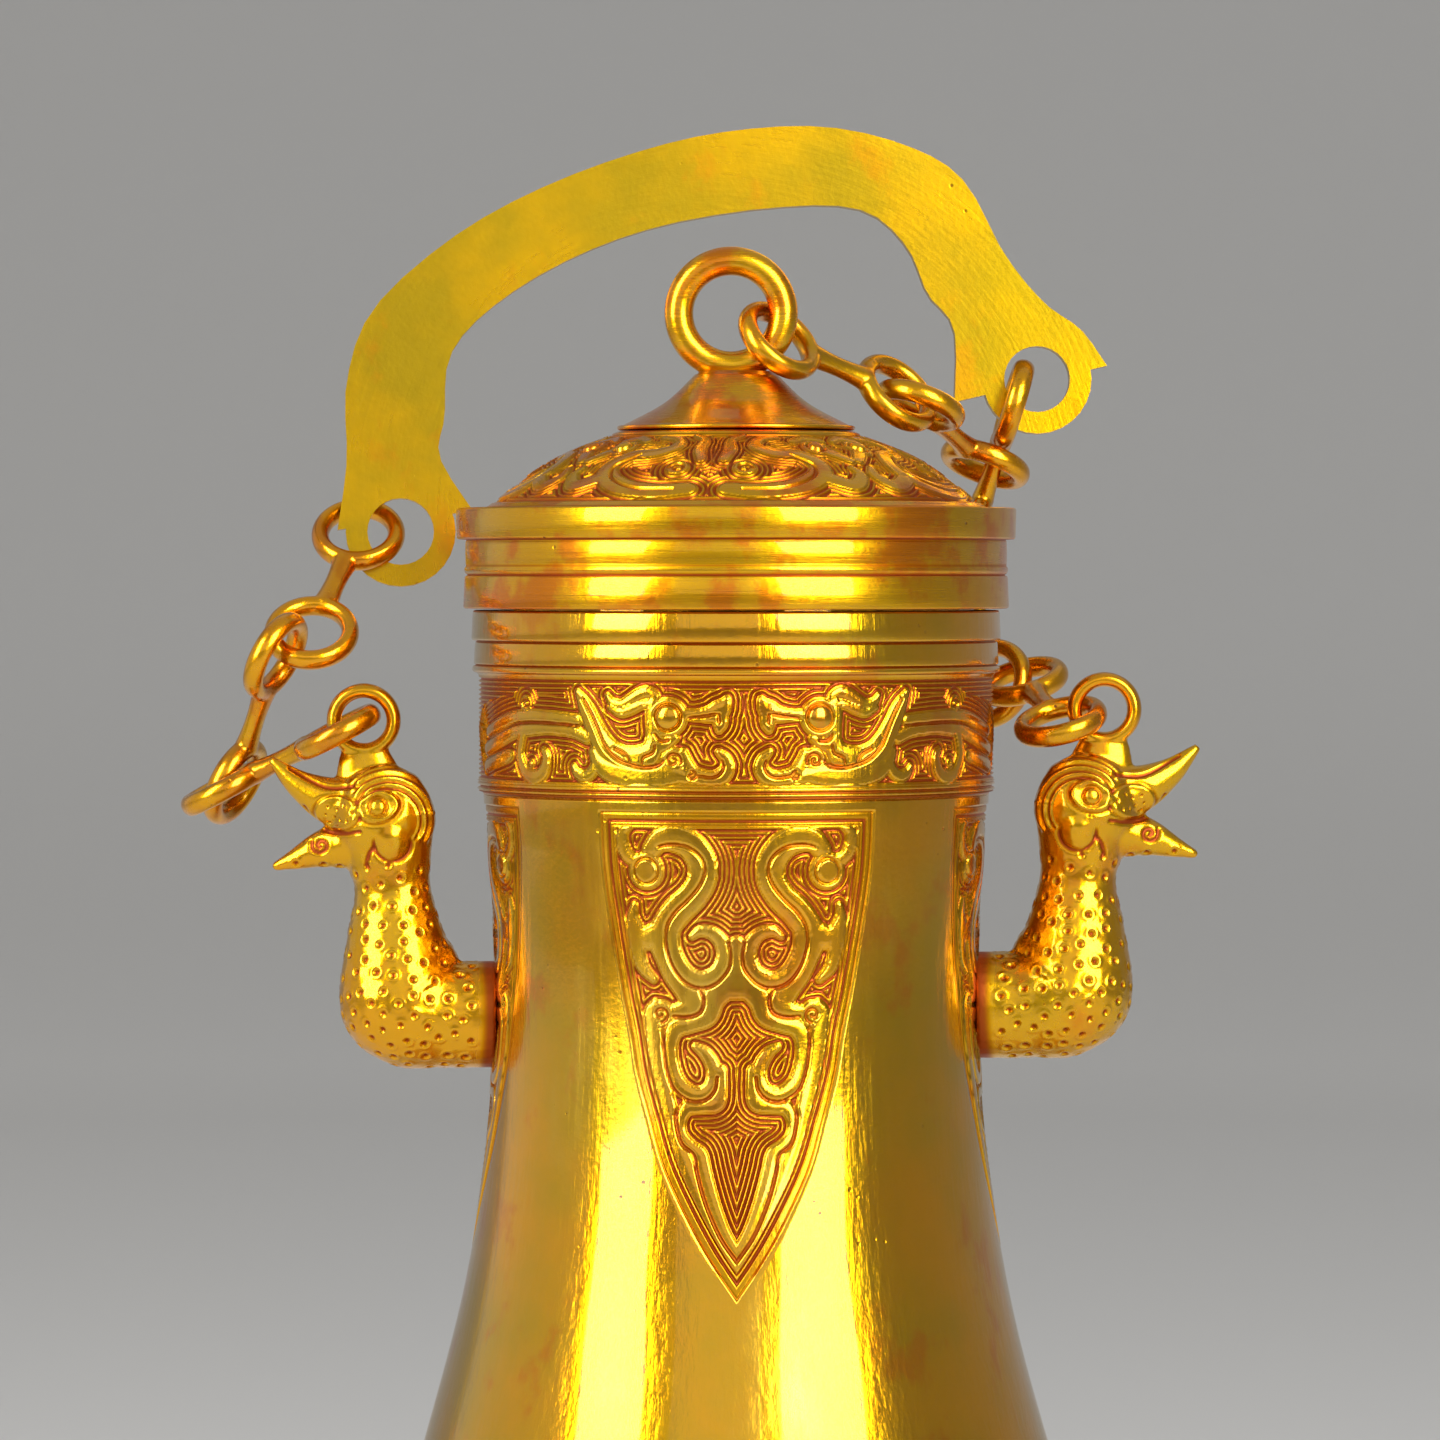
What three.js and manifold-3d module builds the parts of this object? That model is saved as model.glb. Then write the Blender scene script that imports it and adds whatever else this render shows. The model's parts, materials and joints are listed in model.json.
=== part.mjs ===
// Gilt bronze lidded flask with bird-head lugs, a flat arched handle and chains of ring-and-bar links.
// Millimetres, +Z up. The origin is the middle of the underside, the front faces -Y.
import * as THREE from "three";
import { mergeVertices } from "three/addons/utils/BufferGeometryUtils.js";
import Module from "manifold-3d";

const wasm = await Module();
wasm.setup();

// Clearances
const seatGap = 0.3; // between pieces that sit on or in each other
const mouthClearance = 0.5; // lid collar to mouth, all round

// Fineness of the round forms
const turnSteps = 32;
const ringSteps = 16;
const wireSides = 8;

// Vessel
const wall = 3;
const floorThickness = 3.5;
const mouthZ = 286.2;
const mouthBandHeight = 5.4;
const lowerBandInset = 0.4;
const lowerBandHeight = 4.4;
const beadHeight = 1.3;
const friezeHeight = 22.4;
const friezeRadius = 46.6;
const mouthStep = 1; // mouth bands stand out from the frieze
const mouthRadius = friezeRadius + mouthStep;
const neckTopRadius = 45.5;
const waistRadius = 43.8;
const waistZ = 214;
const shoulderRadius = 56.2;
const shoulderZ = 137;
const bellyRadius = 76;
const bellyZ = 70;
const bodyBaseRadius = 44;

// Foot
const footHeight = 20;
const footTopRadius = 46;
const footFlareRadius = 52;
const footWall = 5;
const footLip = 5;
const basePlateThickness = 3;

// Lid
const lidBandHeights = [5.9, 6.5, 5.6]; // lower, recessed and top band
const lidOverhang = 2.8; // lid stands out from the mouth
const lidRadius = mouthRadius + lidOverhang;
const lidRecess = 1.6;
const lidLowerInset = 1.35;
const lidWall = 3;
const domeRadius = 44.6;
const domeHeight = 13.7;
const domeBulge = 1.6;
const finialRadius = 21.4;
const collarDepth = 6.5;
const collarWall = 2;
const collarFlange = 3;

// Finial
const coneHeight = 10.4;
const coneNeckRadius = 7;
const coneRim = 0.8;
const loopRadius = 9.4;
const loopWire = 5.2;
const loopSink = 1.4;
const loopShift = -0.9;
const tenonRadius = 5;

// Chain links
const ringRadius = 7.05; // middle of the wire
const ringWire = 3.4; // across the wire, in the plane of the ring
const ringDepth = 4.2; // along the axis of the ring
const linkPitch = 26.8; // between the two ring middles of one link
const barWidth = 4.6;

// Handle, in its own level frame: across from the middle, and up from the line of the eyes
const handleThickness = 3;
const eyeSpan = 60.4; // from the middle to each eye
const eyeHole = 6.1;
const eyeRim = 4;
const handleRoll = 13.5; // degrees, right end higher
const handleLean = 3; // degrees, top away from the front
const handleYaw = 4; // degrees, right end further back
const handleMiddle = new THREE.Vector3(-3, 30, 314.5);
const archOuter = [
  [-71.6, 3], [-67, 14.9], [-63.6, 29], [-55.6, 41], [-38.4, 50.4], [-20, 55.6], [0, 58],
  [17, 57.6], [34, 54.2], [48, 47], [56, 38.6], [60, 24], [65, 13.5], [70.5, 7], [73.6, -0.6],
];
const archInner = [
  [44.5, -0.6], [47.6, 12.5], [44.4, 20], [42.6, 29.6], [36, 38], [21, 42], [0, 43.6], [-18, 41.6],
  [-34, 36.4], [-43.9, 29.4], [-47.6, 18.6], [-50.2, 11.6], [-46.6, 0.6],
];

// Bird lugs: the left one, across from the axis and up; the right one is its mirror image
const birdLoopRadius = 5.4;
const birdLoopWire = 2.7;
const birdLoopDepth = 4;
const birdLoopMiddle = [-67.3, 266.2];
const birdPadRadius = 13; // plain round on the neck behind each bird
const birdFlat = 0.86; // front-to-back thickness of a form against its thickness in the side view
const birdNeck = [
  // middle and half thickness, from inside the wall to the head
  [[-40, 213.4], 9.7],
  [[-52, 213.5], 9.7],
  [[-59.8, 216.4], 12.4],
  [[-61.3, 225.9], 9.2],
  [[-61.9, 235.3], 6.8],
  [[-62.6, 241.2], 7.5],
  [[-63.4, 249], 9.2],
];
const birdHead = { middle: [-63.8, 248.8], half: [9.3, 9.6] };
const upperBeak = [
  [[-66, 252.5], 5.4],
  [[-72, 252.2], 4.2],
  [[-78.6, 255.6], 2.4],
  [[-84.4, 259.5], 0.8],
];
const lowerBeak = [
  [[-66, 244.6], 5.2],
  [[-74, 242.9], 3],
  [[-79.6, 240.6], 1.4],
  [[-83.8, 239.5], 0.5],
];
const birdLoopStem = [
  [[-66.4, 254], 6],
  [[-67.1, 260], 4.6],
];
const leftBirdRise = 0;
const leftBirdLean = 0.3; // degrees towards the neck
const rightBirdRise = 1.7;
const rightBirdLean = 1.1;

// Carved ornament: the ground is sunk and the figures stay level with the wall.
// Figures are strokes of [across, along, half width] on one half, and are mirrored to the other half.
const carvingDepth = 0.8;
const cutterReach = 5; // how far a cutter stands out of the wall
const leafTopZ = 250.3;
const leafSide = [
  [23.2, 0], [21.1, 19.2], [19.2, 36.4], [16.6, 50.7], [13.7, 59.3], [10, 68], [5.1, 76.5], [0.6, 84],
];
const leafBorder = 1.9;
const leafFigures = [
  [[12.8, 6.9, 1.2], [9.3, 3.8, 1.8], [5, 5.8, 2], [4, 10, 2], [7.9, 16.1, 2.1], [11.6, 21.5, 2.2],
   [10.8, 26.8, 2.2], [6.5, 30.2, 2], [2.4, 29.1, 1.8], [1.3, 25, 1.3], [3.8, 21.6, 0.8]],
  [[17.8, 16.7, 0.4], [17.4, 22.5, 1.5], [13.4, 21.6, 1.4]],
  [[15.5, 34.8, 1.2], [14.9, 42.3, 1.4], [11.8, 51, 1.6]],
  [[14.6, 36, 1.6], [10.8, 36.6, 1.5], [3.6, 35.6, 1.4]],
  [[11.6, 38.9, 1.3], [12.2, 43, 1.6], [8.7, 49, 1.7], [5.5, 48, 1.5], [3.7, 44.6, 0.6]],
  [[2.7, 45.2, 0.8], [3.2, 50.8, 1.1], [10.1, 52.1, 1.4], [9.7, 56.2, 1.4], [3, 72.9, 1], [0, 77.6, 0.9]],
  [[15.3, 9, 1.2], [15.3, 10.7, 2.6], [15.3, 12.4, 1.2]],
];
const friezeFigures = [
  [[34.2, 19.4, 0.3], [30.9, 14.5, 0.95], [28.3, 8.3, 1.2], [25.5, 5.3, 1.5], [19.5, 4.1, 1.6],
   [11.4, 4.9, 1.2]],
  [[31.3, 17.7, 0.25], [27.8, 12.6, 1], [23.5, 8.9, 1.3], [19, 8.4, 1.3], [16.4, 11.4, 1.1],
   [16.3, 13.9, 0.9]],
  [[11.7, 14.5, 1.25], [6.2, 15.3, 1.05], [3.1, 18.3, 0.3]],
  [[25.7, 18.7, 0.2], [23.5, 17.1, 0.65], [18.3, 19.3, 0.7], [16.4, 18, 0.5]],
  [[13.6, 12.6, 1.4], [13.6, 14.8, 2.9], [13.6, 17, 1.4]],
  [[12.6, 7, 1.8], [8.5, 4.3, 1.2], [3.2, 4.2, 1.1], [3.4, 7.6, 0.4]],
  [[69, 8.2, 0.9], [54, 11.3, 1.2], [42, 13.3, 1.7], [32.5, 13.1, 1.6]],
  [[50.6, 10, 0.85], [49.6, 5, 0.9], [43, 3.5, 0.95], [40.8, 7.8, 0.5]],
];
const friezeTurn = 1.6; // degrees, its middle lies a little to the right of the front
const friezeBorder = [1.9, 22]; // lower and upper edge of the sunk ground
const domeRepeats = 4;
const domeSpread = 33; // radius at which the across of a dome figure is true
const domeBorder = [0.8, 23.2];
const domeSpan = 24; // drawn length from the rim of the dome to the finial
const domeFigures = [
  [[3, 4, 1.2], [11, 4, 1.55], [18, 9, 1.5], [13.5, 14.2, 1.4], [8, 17.5, 1.1], [10, 20.5, 0.8]],
  [[22.5, 14.5, 1.1], [25, 12, 0.8]],
  [[20.5, 14.7, 1.2], [20.5, 16.5, 2.4], [20.5, 18.3, 1.2]],
];

// How the chains lie: where each one hooks on, and the ways its links point, chosen by eye.
// Falls and folds are from one ring middle to the next, in ring radii.
const leftChain = {
  hook: 170, // degrees round the left eye
  hookDepth: 0.42, // share of the rim that lies on the far side of the ring's middle
  lean: [-7.9, -19.5, -18.9], // way of the first link
  fall: [-0.9, -0.34, -0.59], // first link's lower ring to second link's upper ring
  fold: [-0.25, -0.45, -0.15], // second link's lower ring to third link's outer ring
  elbow: [-2.24, 0.97, -0.07], // side to which the two lower links fold out
  seat: 203.9, // degrees round the bird's loop
  seatReach: 5.2, // from the middle of the loop to the middle of the last ring
  broad: [[1, 0, 0], [0.31, 1.01, -0.12], [0.17, -0.79, 0.04]], // spread of the flat of each link
};
const rightChain = {
  hook: 213,
  hookDepth: 0.05,
  lean: [-5.5, 6.3, -18],
  fall: [-0.17, -0.1, -0.55],
  fold: [0.82, -0.54, 0.07],
  elbow: [0.05, 0.35, -1.6],
  seat: 195.4,
  seatReach: 8.2,
  broad: [[0.1, 1.7, 0.4], [0.88, -0.56, 0.12], [0.56, 0, 0.15]],
};
const lidChain = {
  seat: -29.5, // degrees round the ring on the lid
  seatReach: 9.9,
  lean: [0.78, 0.48, -0.33],
  fall: [0.61, 0.32, -0.3],
  run: [13, 21.6, -10.5], // way of the second link, whose lower ring lies round the right chain's bar
  broad: [[0, -0.76, -0.62], [0.88, -0.32, -0.22]],
};

const colours = {
  gilt: { color: 0xd9a02c, roughness: 0.28, metalness: 1 },
  brass: { color: 0xd8b64a, roughness: 0.38, metalness: 1 },
  chain: { color: 0xc98a22, roughness: 0.3, metalness: 1 },
};

// Solids

function toSolid(geometry) {
  const bare = geometry.index ? geometry.toNonIndexed() : geometry.clone();
  bare.deleteAttribute("normal");
  bare.deleteAttribute("uv");
  const merged = mergeVertices(bare, 1e-4);
  const vertices = merged.attributes.position.array;
  const corners = Array.from(merged.index.array);
  const kept = [];
  for (let i = 0; i < corners.length; i += 3) {
    const [a, b, c] = corners.slice(i, i + 3);
    if (a !== b && b !== c && c !== a) kept.push(a, b, c);
  }
  if (signedVolume(vertices, kept) < 0) {
    for (let i = 0; i < kept.length; i += 3) [kept[i], kept[i + 1]] = [kept[i + 1], kept[i]];
  }
  return new wasm.Manifold(
    new wasm.Mesh({
      numProp: 3,
      vertProperties: Float32Array.from(vertices),
      triVerts: Uint32Array.from(kept),
    }),
  );
}

function signedVolume(vertices, corners) {
  const at = (i) => new THREE.Vector3().fromArray(vertices, 3 * i);
  let sum = 0;
  for (let i = 0; i < corners.length; i += 3) {
    const [a, b, c] = [at(corners[i]), at(corners[i + 1]), at(corners[i + 2])];
    sum += a.dot(b.cross(c));
  }
  return sum;
}

function toGeometry(solid) {
  const { vertProperties, triVerts, numProp } = solid.getMesh();
  const geometry = new THREE.BufferGeometry();
  const position = new Float32Array((vertProperties.length / numProp) * 3);
  for (let i = 0; i < position.length / 3; i += 1) {
    for (let k = 0; k < 3; k += 1) position[3 * i + k] = vertProperties[numProp * i + k];
  }
  geometry.setAttribute("position", new THREE.BufferAttribute(position, 3));
  geometry.setIndex(Array.from(triVerts));
  return geometry;
}

function turned(profile, steps = turnSteps) {
  // a closed profile of [radius, height] turned about the Z axis
  const points = [...profile, profile[0]].map(([r, z]) => new THREE.Vector2(Math.max(r, 0), z));
  return new THREE.LatheGeometry(points, steps).rotateX(Math.PI / 2);
}

function ring(radius, wire, depth, steps, sides) {
  // a ring about the Y axis whose wire has an oval section
  const section = [];
  for (let i = 0; i < sides; i += 1) {
    const angle = (2 * Math.PI * (i + 0.5)) / sides;
    section.push([radius + (wire / 2) * Math.cos(angle), (depth / 2) * Math.sin(angle)]);
  }
  return turned(section, steps).rotateX(Math.PI / 2);
}

function curveThrough(points, steps) {
  // [radius, height] points on a smooth curve through the given ones
  const spline = new THREE.SplineCurve(points.map(([a, b]) => new THREE.Vector2(a, b)));
  return spline.getPoints(steps).map((p) => [p.x, p.y]);
}

function limb(stations, flat, sides = 10, steps = 11) {
  // an oval tube along stations of [[across, up], half thickness], lying in the side view
  const path = new THREE.SplineCurve(stations.map(([[x, z]]) => new THREE.Vector2(x, z)));
  const size = new THREE.SplineCurve(stations.map(([, r], i) => new THREE.Vector2(i, r)));
  const position = [];
  const index = [];
  for (let i = 0; i <= steps; i += 1) {
    const middle = path.getPoint(i / steps);
    const along = path.getTangent(i / steps);
    const half = size.getPoint(i / steps).y;
    for (let k = 0; k < sides; k += 1) {
      const angle = (2 * Math.PI * k) / sides;
      const across = half * Math.cos(angle);
      position.push(middle.x - along.y * across, half * flat * Math.sin(angle), middle.y + along.x * across);
    }
  }
  const first = position.length / 3;
  for (const end of [path.getPoint(0), path.getPoint(1)]) position.push(end.x, 0, end.y);
  for (let k = 0; k < sides; k += 1) {
    const next = (k + 1) % sides;
    for (let i = 0; i < steps; i += 1) {
      const [a, b] = [i * sides + k, i * sides + next];
      index.push(a, b, b + sides, a, b + sides, a + sides);
    }
    index.push(first, next, k, first + 1, steps * sides + k, steps * sides + next);
  }
  const geometry = new THREE.BufferGeometry();
  geometry.setAttribute("position", new THREE.Float32BufferAttribute(position, 3));
  geometry.setIndex(index);
  return geometry;
}

function blanket(grid, place, low, high) {
  // a closed sheet over a grid of [across, along], from the low to the high level
  const [rows, columns] = [grid.length, grid[0].length];
  const position = [low, high].flatMap((level) =>
    grid.flatMap((row) => row.flatMap(([across, along]) => place(across, along, level).toArray())),
  );
  const at = (i, k, level) => (level * rows + i) * columns + k;
  const index = [];
  const four = (a, b, c, d) => index.push(a, b, c, a, c, d);
  for (let i = 0; i < rows - 1; i += 1) {
    for (let k = 0; k < columns - 1; k += 1) {
      four(at(i, k, 0), at(i + 1, k, 0), at(i + 1, k + 1, 0), at(i, k + 1, 0));
      four(at(i, k, 1), at(i, k + 1, 1), at(i + 1, k + 1, 1), at(i + 1, k, 1));
    }
    four(at(i, 0, 0), at(i, 0, 1), at(i + 1, 0, 1), at(i + 1, 0, 0));
    const last = columns - 1;
    four(at(i, last, 0), at(i + 1, last, 0), at(i + 1, last, 1), at(i, last, 1));
  }
  for (let k = 0; k < columns - 1; k += 1) {
    four(at(0, k, 0), at(0, k + 1, 0), at(0, k + 1, 1), at(0, k, 1));
    const last = rows - 1;
    four(at(last, k, 0), at(last, k, 1), at(last, k + 1, 1), at(last, k + 1, 0));
  }
  const geometry = new THREE.BufferGeometry();
  geometry.setAttribute("position", new THREE.Float32BufferAttribute(position, 3));
  geometry.setIndex(index);
  return toSolid(geometry);
}

function stroke(points, side, place) {
  // a figure's stroke as a ribbon that passes right through the sunk ground
  const grid = points.map(([u, v, half], i) => {
    const [before, after] = [points[Math.max(i - 1, 0)], points[Math.min(i + 1, points.length - 1)]];
    const way = new THREE.Vector2(after[0] - before[0], after[1] - before[1]).normalize();
    return [-1, 1].map((hand) => [side * (u - hand * half * way.y), v + hand * half * way.x]);
  });
  return blanket(grid, place, -2 * carvingDepth, 1.5 * cutterReach);
}

function sunkGround(rows, columns, figures, place) {
  // rows of [from, to, along] are sunk, apart from the figures
  const grid = rows.map(([from, to, along]) =>
    Array.from({ length: columns + 1 }, (_, k) => [from + ((to - from) * k) / columns, along]),
  );
  const ground = blanket(grid, place, -carvingDepth, cutterReach);
  const kept = figures.flatMap((points) => [-1, 1].map((side) => stroke(points, side, place)));
  return kept.reduce((solid, figure) => solid.subtract(figure), ground);
}

function radiusAt(profile, height) {
  // radius of a falling [radius, height] profile at a height
  const next = Math.max(profile.findIndex(([, z]) => z <= height), 1);
  const [[r0, z0], [r1, z1]] = [profile[next - 1], profile[next]];
  return r0 + ((r1 - r0) * (z0 - height)) / (z0 - z1 || 1);
}

function aroundAxis(radius, angle, height) {
  return new THREE.Vector3(radius * Math.sin(angle), -radius * Math.cos(angle), height);
}

const group = new THREE.Group();

function piece(name, geometry, look, parent = group) {
  const mesh = new THREE.Mesh(geometry, new THREE.MeshStandardMaterial(look));
  mesh.name = name;
  parent.add(mesh);
  return mesh;
}

// Vessel: bands at the mouth, frieze, waisted neck, belly and a flat floor

const lowerBandZ = mouthZ - mouthBandHeight;
const beadZ = lowerBandZ - lowerBandHeight;
const friezeZ = beadZ - beadHeight;
const neckZ = friezeZ - friezeHeight;
const bodyBaseZ = footHeight + seatGap;
const neckCurve = [
  [neckTopRadius, neckZ],
  [waistRadius, waistZ],
  [waistRadius + 0.32 * (shoulderRadius - waistRadius), waistZ - 0.55 * (waistZ - shoulderZ)],
  [shoulderRadius, shoulderZ],
  [shoulderRadius + 0.4 * (bellyRadius - shoulderRadius), bellyZ + 0.65 * (shoulderZ - bellyZ)],
  [shoulderRadius + 0.78 * (bellyRadius - shoulderRadius), bellyZ + 0.35 * (shoulderZ - bellyZ)],
  [bellyRadius, bellyZ],
  [bodyBaseRadius + 0.87 * (bellyRadius - bodyBaseRadius), bodyBaseZ + 0.5 * (bellyZ - bodyBaseZ)],
  [bodyBaseRadius + 0.5 * (bellyRadius - bodyBaseRadius), bodyBaseZ + 0.15 * (bellyZ - bodyBaseZ)],
  [bodyBaseRadius, bodyBaseZ],
];

function vesselOutside(grow = 0) {
  const bands = [
    [mouthRadius, mouthZ],
    [mouthRadius, lowerBandZ],
    [mouthRadius - lowerBandInset, lowerBandZ],
    [mouthRadius - lowerBandInset, beadZ],
    [mouthRadius, beadZ],
    [mouthRadius, friezeZ],
    [friezeRadius, friezeZ],
    [friezeRadius, neckZ],
  ];
  return [...bands, ...curveThrough(neckCurve, 18)].map(([r, z]) => [r + grow, z]);
}

const mouthBore = friezeRadius - wall - 0.3;
const insideCurve = curveThrough(neckCurve, 9)
  .slice(0, -1)
  .map(([r, z]) => [r - wall, z])
  .filter(([, z]) => z > bodyBaseZ + floorThickness + 2);
const vesselInside = [
  [mouthBore, mouthZ],
  [mouthBore, neckZ + 4],
  ...insideCurve.slice(1),
  [bodyBaseRadius - wall, bodyBaseZ + floorThickness],
  [0, bodyBaseZ + floorThickness],
];
const vesselProfile = [...vesselOutside(), [0, bodyBaseZ], ...vesselInside.reverse()];

const neckProfile = curveThrough(neckCurve, 18);
const leafRadius = waistRadius + 1.2;
const onNeck = (across, along, out) => {
  const z = leafTopZ - along;
  return aroundAxis(radiusAt(neckProfile, z) + out, across / leafRadius, z);
};
const leafRows = leafSide
  .filter(([half]) => half > leafBorder)
  .map(([half, along], i) => [leafBorder - half, half - leafBorder, along + (i === 0 ? leafBorder : 0)]);
const leafGround = sunkGround(leafRows, 6, leafFigures, onNeck);
const onFrieze = (across, along, out) => aroundAxis(friezeRadius + out, across / friezeRadius, neckZ + along);
const friezeHalf = (Math.PI / 2) * friezeRadius + seatGap;
const friezeRows = friezeBorder.map((along) => [-friezeHalf, friezeHalf, along]);
const friezeGround = sunkGround(friezeRows, 18, friezeFigures, onFrieze);
const birdPad = toSolid(new THREE.CylinderGeometry(birdPadRadius, birdPadRadius, 4 * bellyRadius, 16))
  .rotate([0, 0, 90])
  .translate([0, 0, birdNeck[0][0][1]]);
let vesselSolid = toSolid(turned(vesselProfile));
for (const quarter of [0, 90, 180, 270]) {
  vesselSolid = vesselSolid.subtract(leafGround.rotate([0, 0, quarter]).subtract(birdPad));
}
for (const half of [0, 180]) {
  vesselSolid = vesselSolid.subtract(friezeGround.rotate([0, 0, half + friezeTurn]));
}
piece("vessel_body", toGeometry(vesselSolid), colours.gilt);

// Foot ring and the plate that closes it

const footBore = footTopRadius - footWall;
const plateRadius = footFlareRadius - footLip;
const footProfile = [
  [footTopRadius, footHeight],
  [footTopRadius - 0.6, footHeight - 4],
  ...curveThrough([[footTopRadius - 0.4, footHeight - 6], [footTopRadius + 1.6, 8], [footFlareRadius, 3]], 5),
  [footFlareRadius, 0],
  [plateRadius, 0],
  [plateRadius, basePlateThickness + seatGap],
  [footBore, basePlateThickness + seatGap],
  [footBore, footHeight],
];
piece("foot_ring", toGeometry(toSolid(turned(footProfile))), colours.gilt);
const plateProfile = [
  [0, 0],
  [plateRadius - seatGap, 0],
  [plateRadius - seatGap, basePlateThickness],
  [0, basePlateThickness],
];
piece("base_plate", toGeometry(toSolid(turned(plateProfile))), colours.gilt);

// Lid: skirt of three bands, low dome, inner collar and finial

const lidZ = mouthZ + seatGap;
const recessZ = lidZ + lidBandHeights[0];
const topBandZ = recessZ + lidBandHeights[1];
const lidRimZ = topBandZ + lidBandHeights[2];
const domeTopZ = lidRimZ + domeHeight;
const domeMiddle = [
  (domeRadius + finialRadius) / 2 + domeBulge * 0.5,
  (lidRimZ + domeTopZ) / 2 + domeBulge,
];
const domeCurve = curveThrough([[domeRadius, lidRimZ + 0.4], domeMiddle, [finialRadius, domeTopZ]], 6);
const skirtBore = lidRadius - lidRecess - lidWall;
const lidProfile = [
  [skirtBore, lidZ],
  [lidRadius - lidLowerInset, lidZ],
  [lidRadius - lidLowerInset, recessZ],
  [lidRadius - lidRecess, recessZ],
  [lidRadius - lidRecess, topBandZ],
  [lidRadius, topBandZ],
  [lidRadius, lidRimZ],
  ...domeCurve,
  [tenonRadius + seatGap, domeTopZ],
  [tenonRadius + seatGap, domeTopZ - lidWall],
  ...domeCurve.slice(2).reverse().map(([r, z]) => [r - 0.2 * lidWall, z - lidWall]),
  [skirtBore, lidRimZ - 1.2 * lidWall],
];

const domeLine = new THREE.SplineCurve(
  [[domeRadius, lidRimZ + 0.4], domeMiddle, [finialRadius, domeTopZ]]
    .map(([r, z]) => new THREE.Vector2(r, z)),
);
const onDome = (across, along, out) => {
  const share = THREE.MathUtils.clamp(along / domeSpan, 0, 1);
  const [middle, way] = [domeLine.getPointAt(share), domeLine.getTangentAt(share)];
  return aroundAxis(middle.x + out * way.y, across / domeSpread, middle.y - out * way.x);
};
const domeHalf = (Math.PI / domeRepeats) * domeSpread + seatGap;
const domeRows = [0, 0.33, 0.67, 1].map((share) => [
  -domeHalf, domeHalf, domeBorder[0] + share * (domeBorder[1] - domeBorder[0]),
]);
const domeGround = sunkGround(domeRows, 5, domeFigures, onDome);
let lidSolid = toSolid(turned(lidProfile));
for (let k = 0; k < domeRepeats; k += 1) {
  lidSolid = lidSolid.subtract(domeGround.rotate([0, 0, (360 * k) / domeRepeats]));
}
piece("lid_shell", toGeometry(lidSolid), colours.gilt);

const collarRadius = mouthBore - mouthClearance;
const collarProfile = [
  [collarRadius - collarWall, mouthZ - collarDepth],
  [collarRadius, mouthZ - collarDepth],
  [collarRadius, lidZ],
  [skirtBore - seatGap, lidZ],
  [skirtBore - seatGap, lidZ + collarFlange],
  [collarRadius - collarWall, lidZ + collarFlange],
];
piece("lid_collar", toGeometry(toSolid(turned(collarProfile))), colours.gilt);

const finialZ = domeTopZ + seatGap;
const coneTopZ = finialZ + coneHeight;
const coneProfile = [
  [0, domeTopZ - lidWall],
  [tenonRadius, domeTopZ - lidWall],
  [tenonRadius, finialZ],
  [finialRadius, finialZ],
  [finialRadius, finialZ + coneRim],
  ...curveThrough(
    [
      [finialRadius - 0.8, finialZ + coneRim],
      [0.45 * finialRadius + 0.45 * coneNeckRadius, finialZ + 0.48 * coneHeight],
      [coneNeckRadius, coneTopZ],
    ],
    6,
  ),
  [0, coneTopZ],
];
const loopMiddle = new THREE.Vector3(loopShift, 0, coneTopZ - loopSink + loopRadius + loopWire / 2);
const loop = ring(loopRadius, loopWire, loopWire, 24, wireSides).translate(...loopMiddle.toArray());
piece("lid_finial", toGeometry(toSolid(turned(coneProfile, 28)).add(toSolid(loop))), colours.gilt);

// Bird lugs, cut to sit against the neck

function birdSolid() {
  const head = new THREE.SphereGeometry(1, 12, 9);
  head.scale(birdHead.half[0], birdHead.half[0] * birdFlat, birdHead.half[1]);
  head.translate(birdHead.middle[0], 0, birdHead.middle[1]);
  const hook = ring(birdLoopRadius, birdLoopWire, birdLoopDepth, ringSteps, wireSides);
  hook.translate(birdLoopMiddle[0], 0, birdLoopMiddle[1]);
  const eyelet = new THREE.CylinderGeometry(
    birdLoopRadius - birdLoopWire / 2, birdLoopRadius - birdLoopWire / 2, 4 * birdLoopDepth, ringSteps,
  ).translate(birdLoopMiddle[0], 0, birdLoopMiddle[1]);
  return toSolid(limb(birdNeck, birdFlat))
    .add(toSolid(head))
    .add(toSolid(limb(upperBeak, birdFlat, 8, 6)))
    .add(toSolid(limb(lowerBeak, birdFlat, 8, 6)))
    .add(toSolid(limb(birdLoopStem, 0.5, 8, 2)).subtract(toSolid(eyelet)))
    .add(toSolid(hook));
}

const birdRootZ = birdNeck[0][0][1];
const birdPlace = (side, rise, lean) =>
  new THREE.Matrix4()
    .makeTranslation(side * waistRadius, 0, birdRootZ + rise)
    .multiply(new THREE.Matrix4().makeRotationY(-side * THREE.MathUtils.degToRad(lean)))
    .multiply(new THREE.Matrix4().makeTranslation(-side * waistRadius, 0, -birdRootZ))
    .multiply(new THREE.Matrix4().makeScale(-side, 1, 1));
const leftBirdPlace = birdPlace(-1, leftBirdRise, leftBirdLean);
const rightBirdPlace = birdPlace(1, rightBirdRise, rightBirdLean);
const neckEnvelope = toSolid(turned([...vesselOutside(seatGap), [0, bodyBaseZ], [0, mouthZ]]));
const leftBird = toSolid(toGeometry(birdSolid()).applyMatrix4(leftBirdPlace));
const rightBird = toSolid(toGeometry(birdSolid()).applyMatrix4(rightBirdPlace));
piece("left_bird_lug", toGeometry(leftBird.subtract(neckEnvelope)), colours.gilt);
piece("right_bird_lug", toGeometry(rightBird.subtract(neckEnvelope)), colours.gilt);

// Handle: a flat arch that flares into two tips at each end, with an eye ring between them

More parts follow.
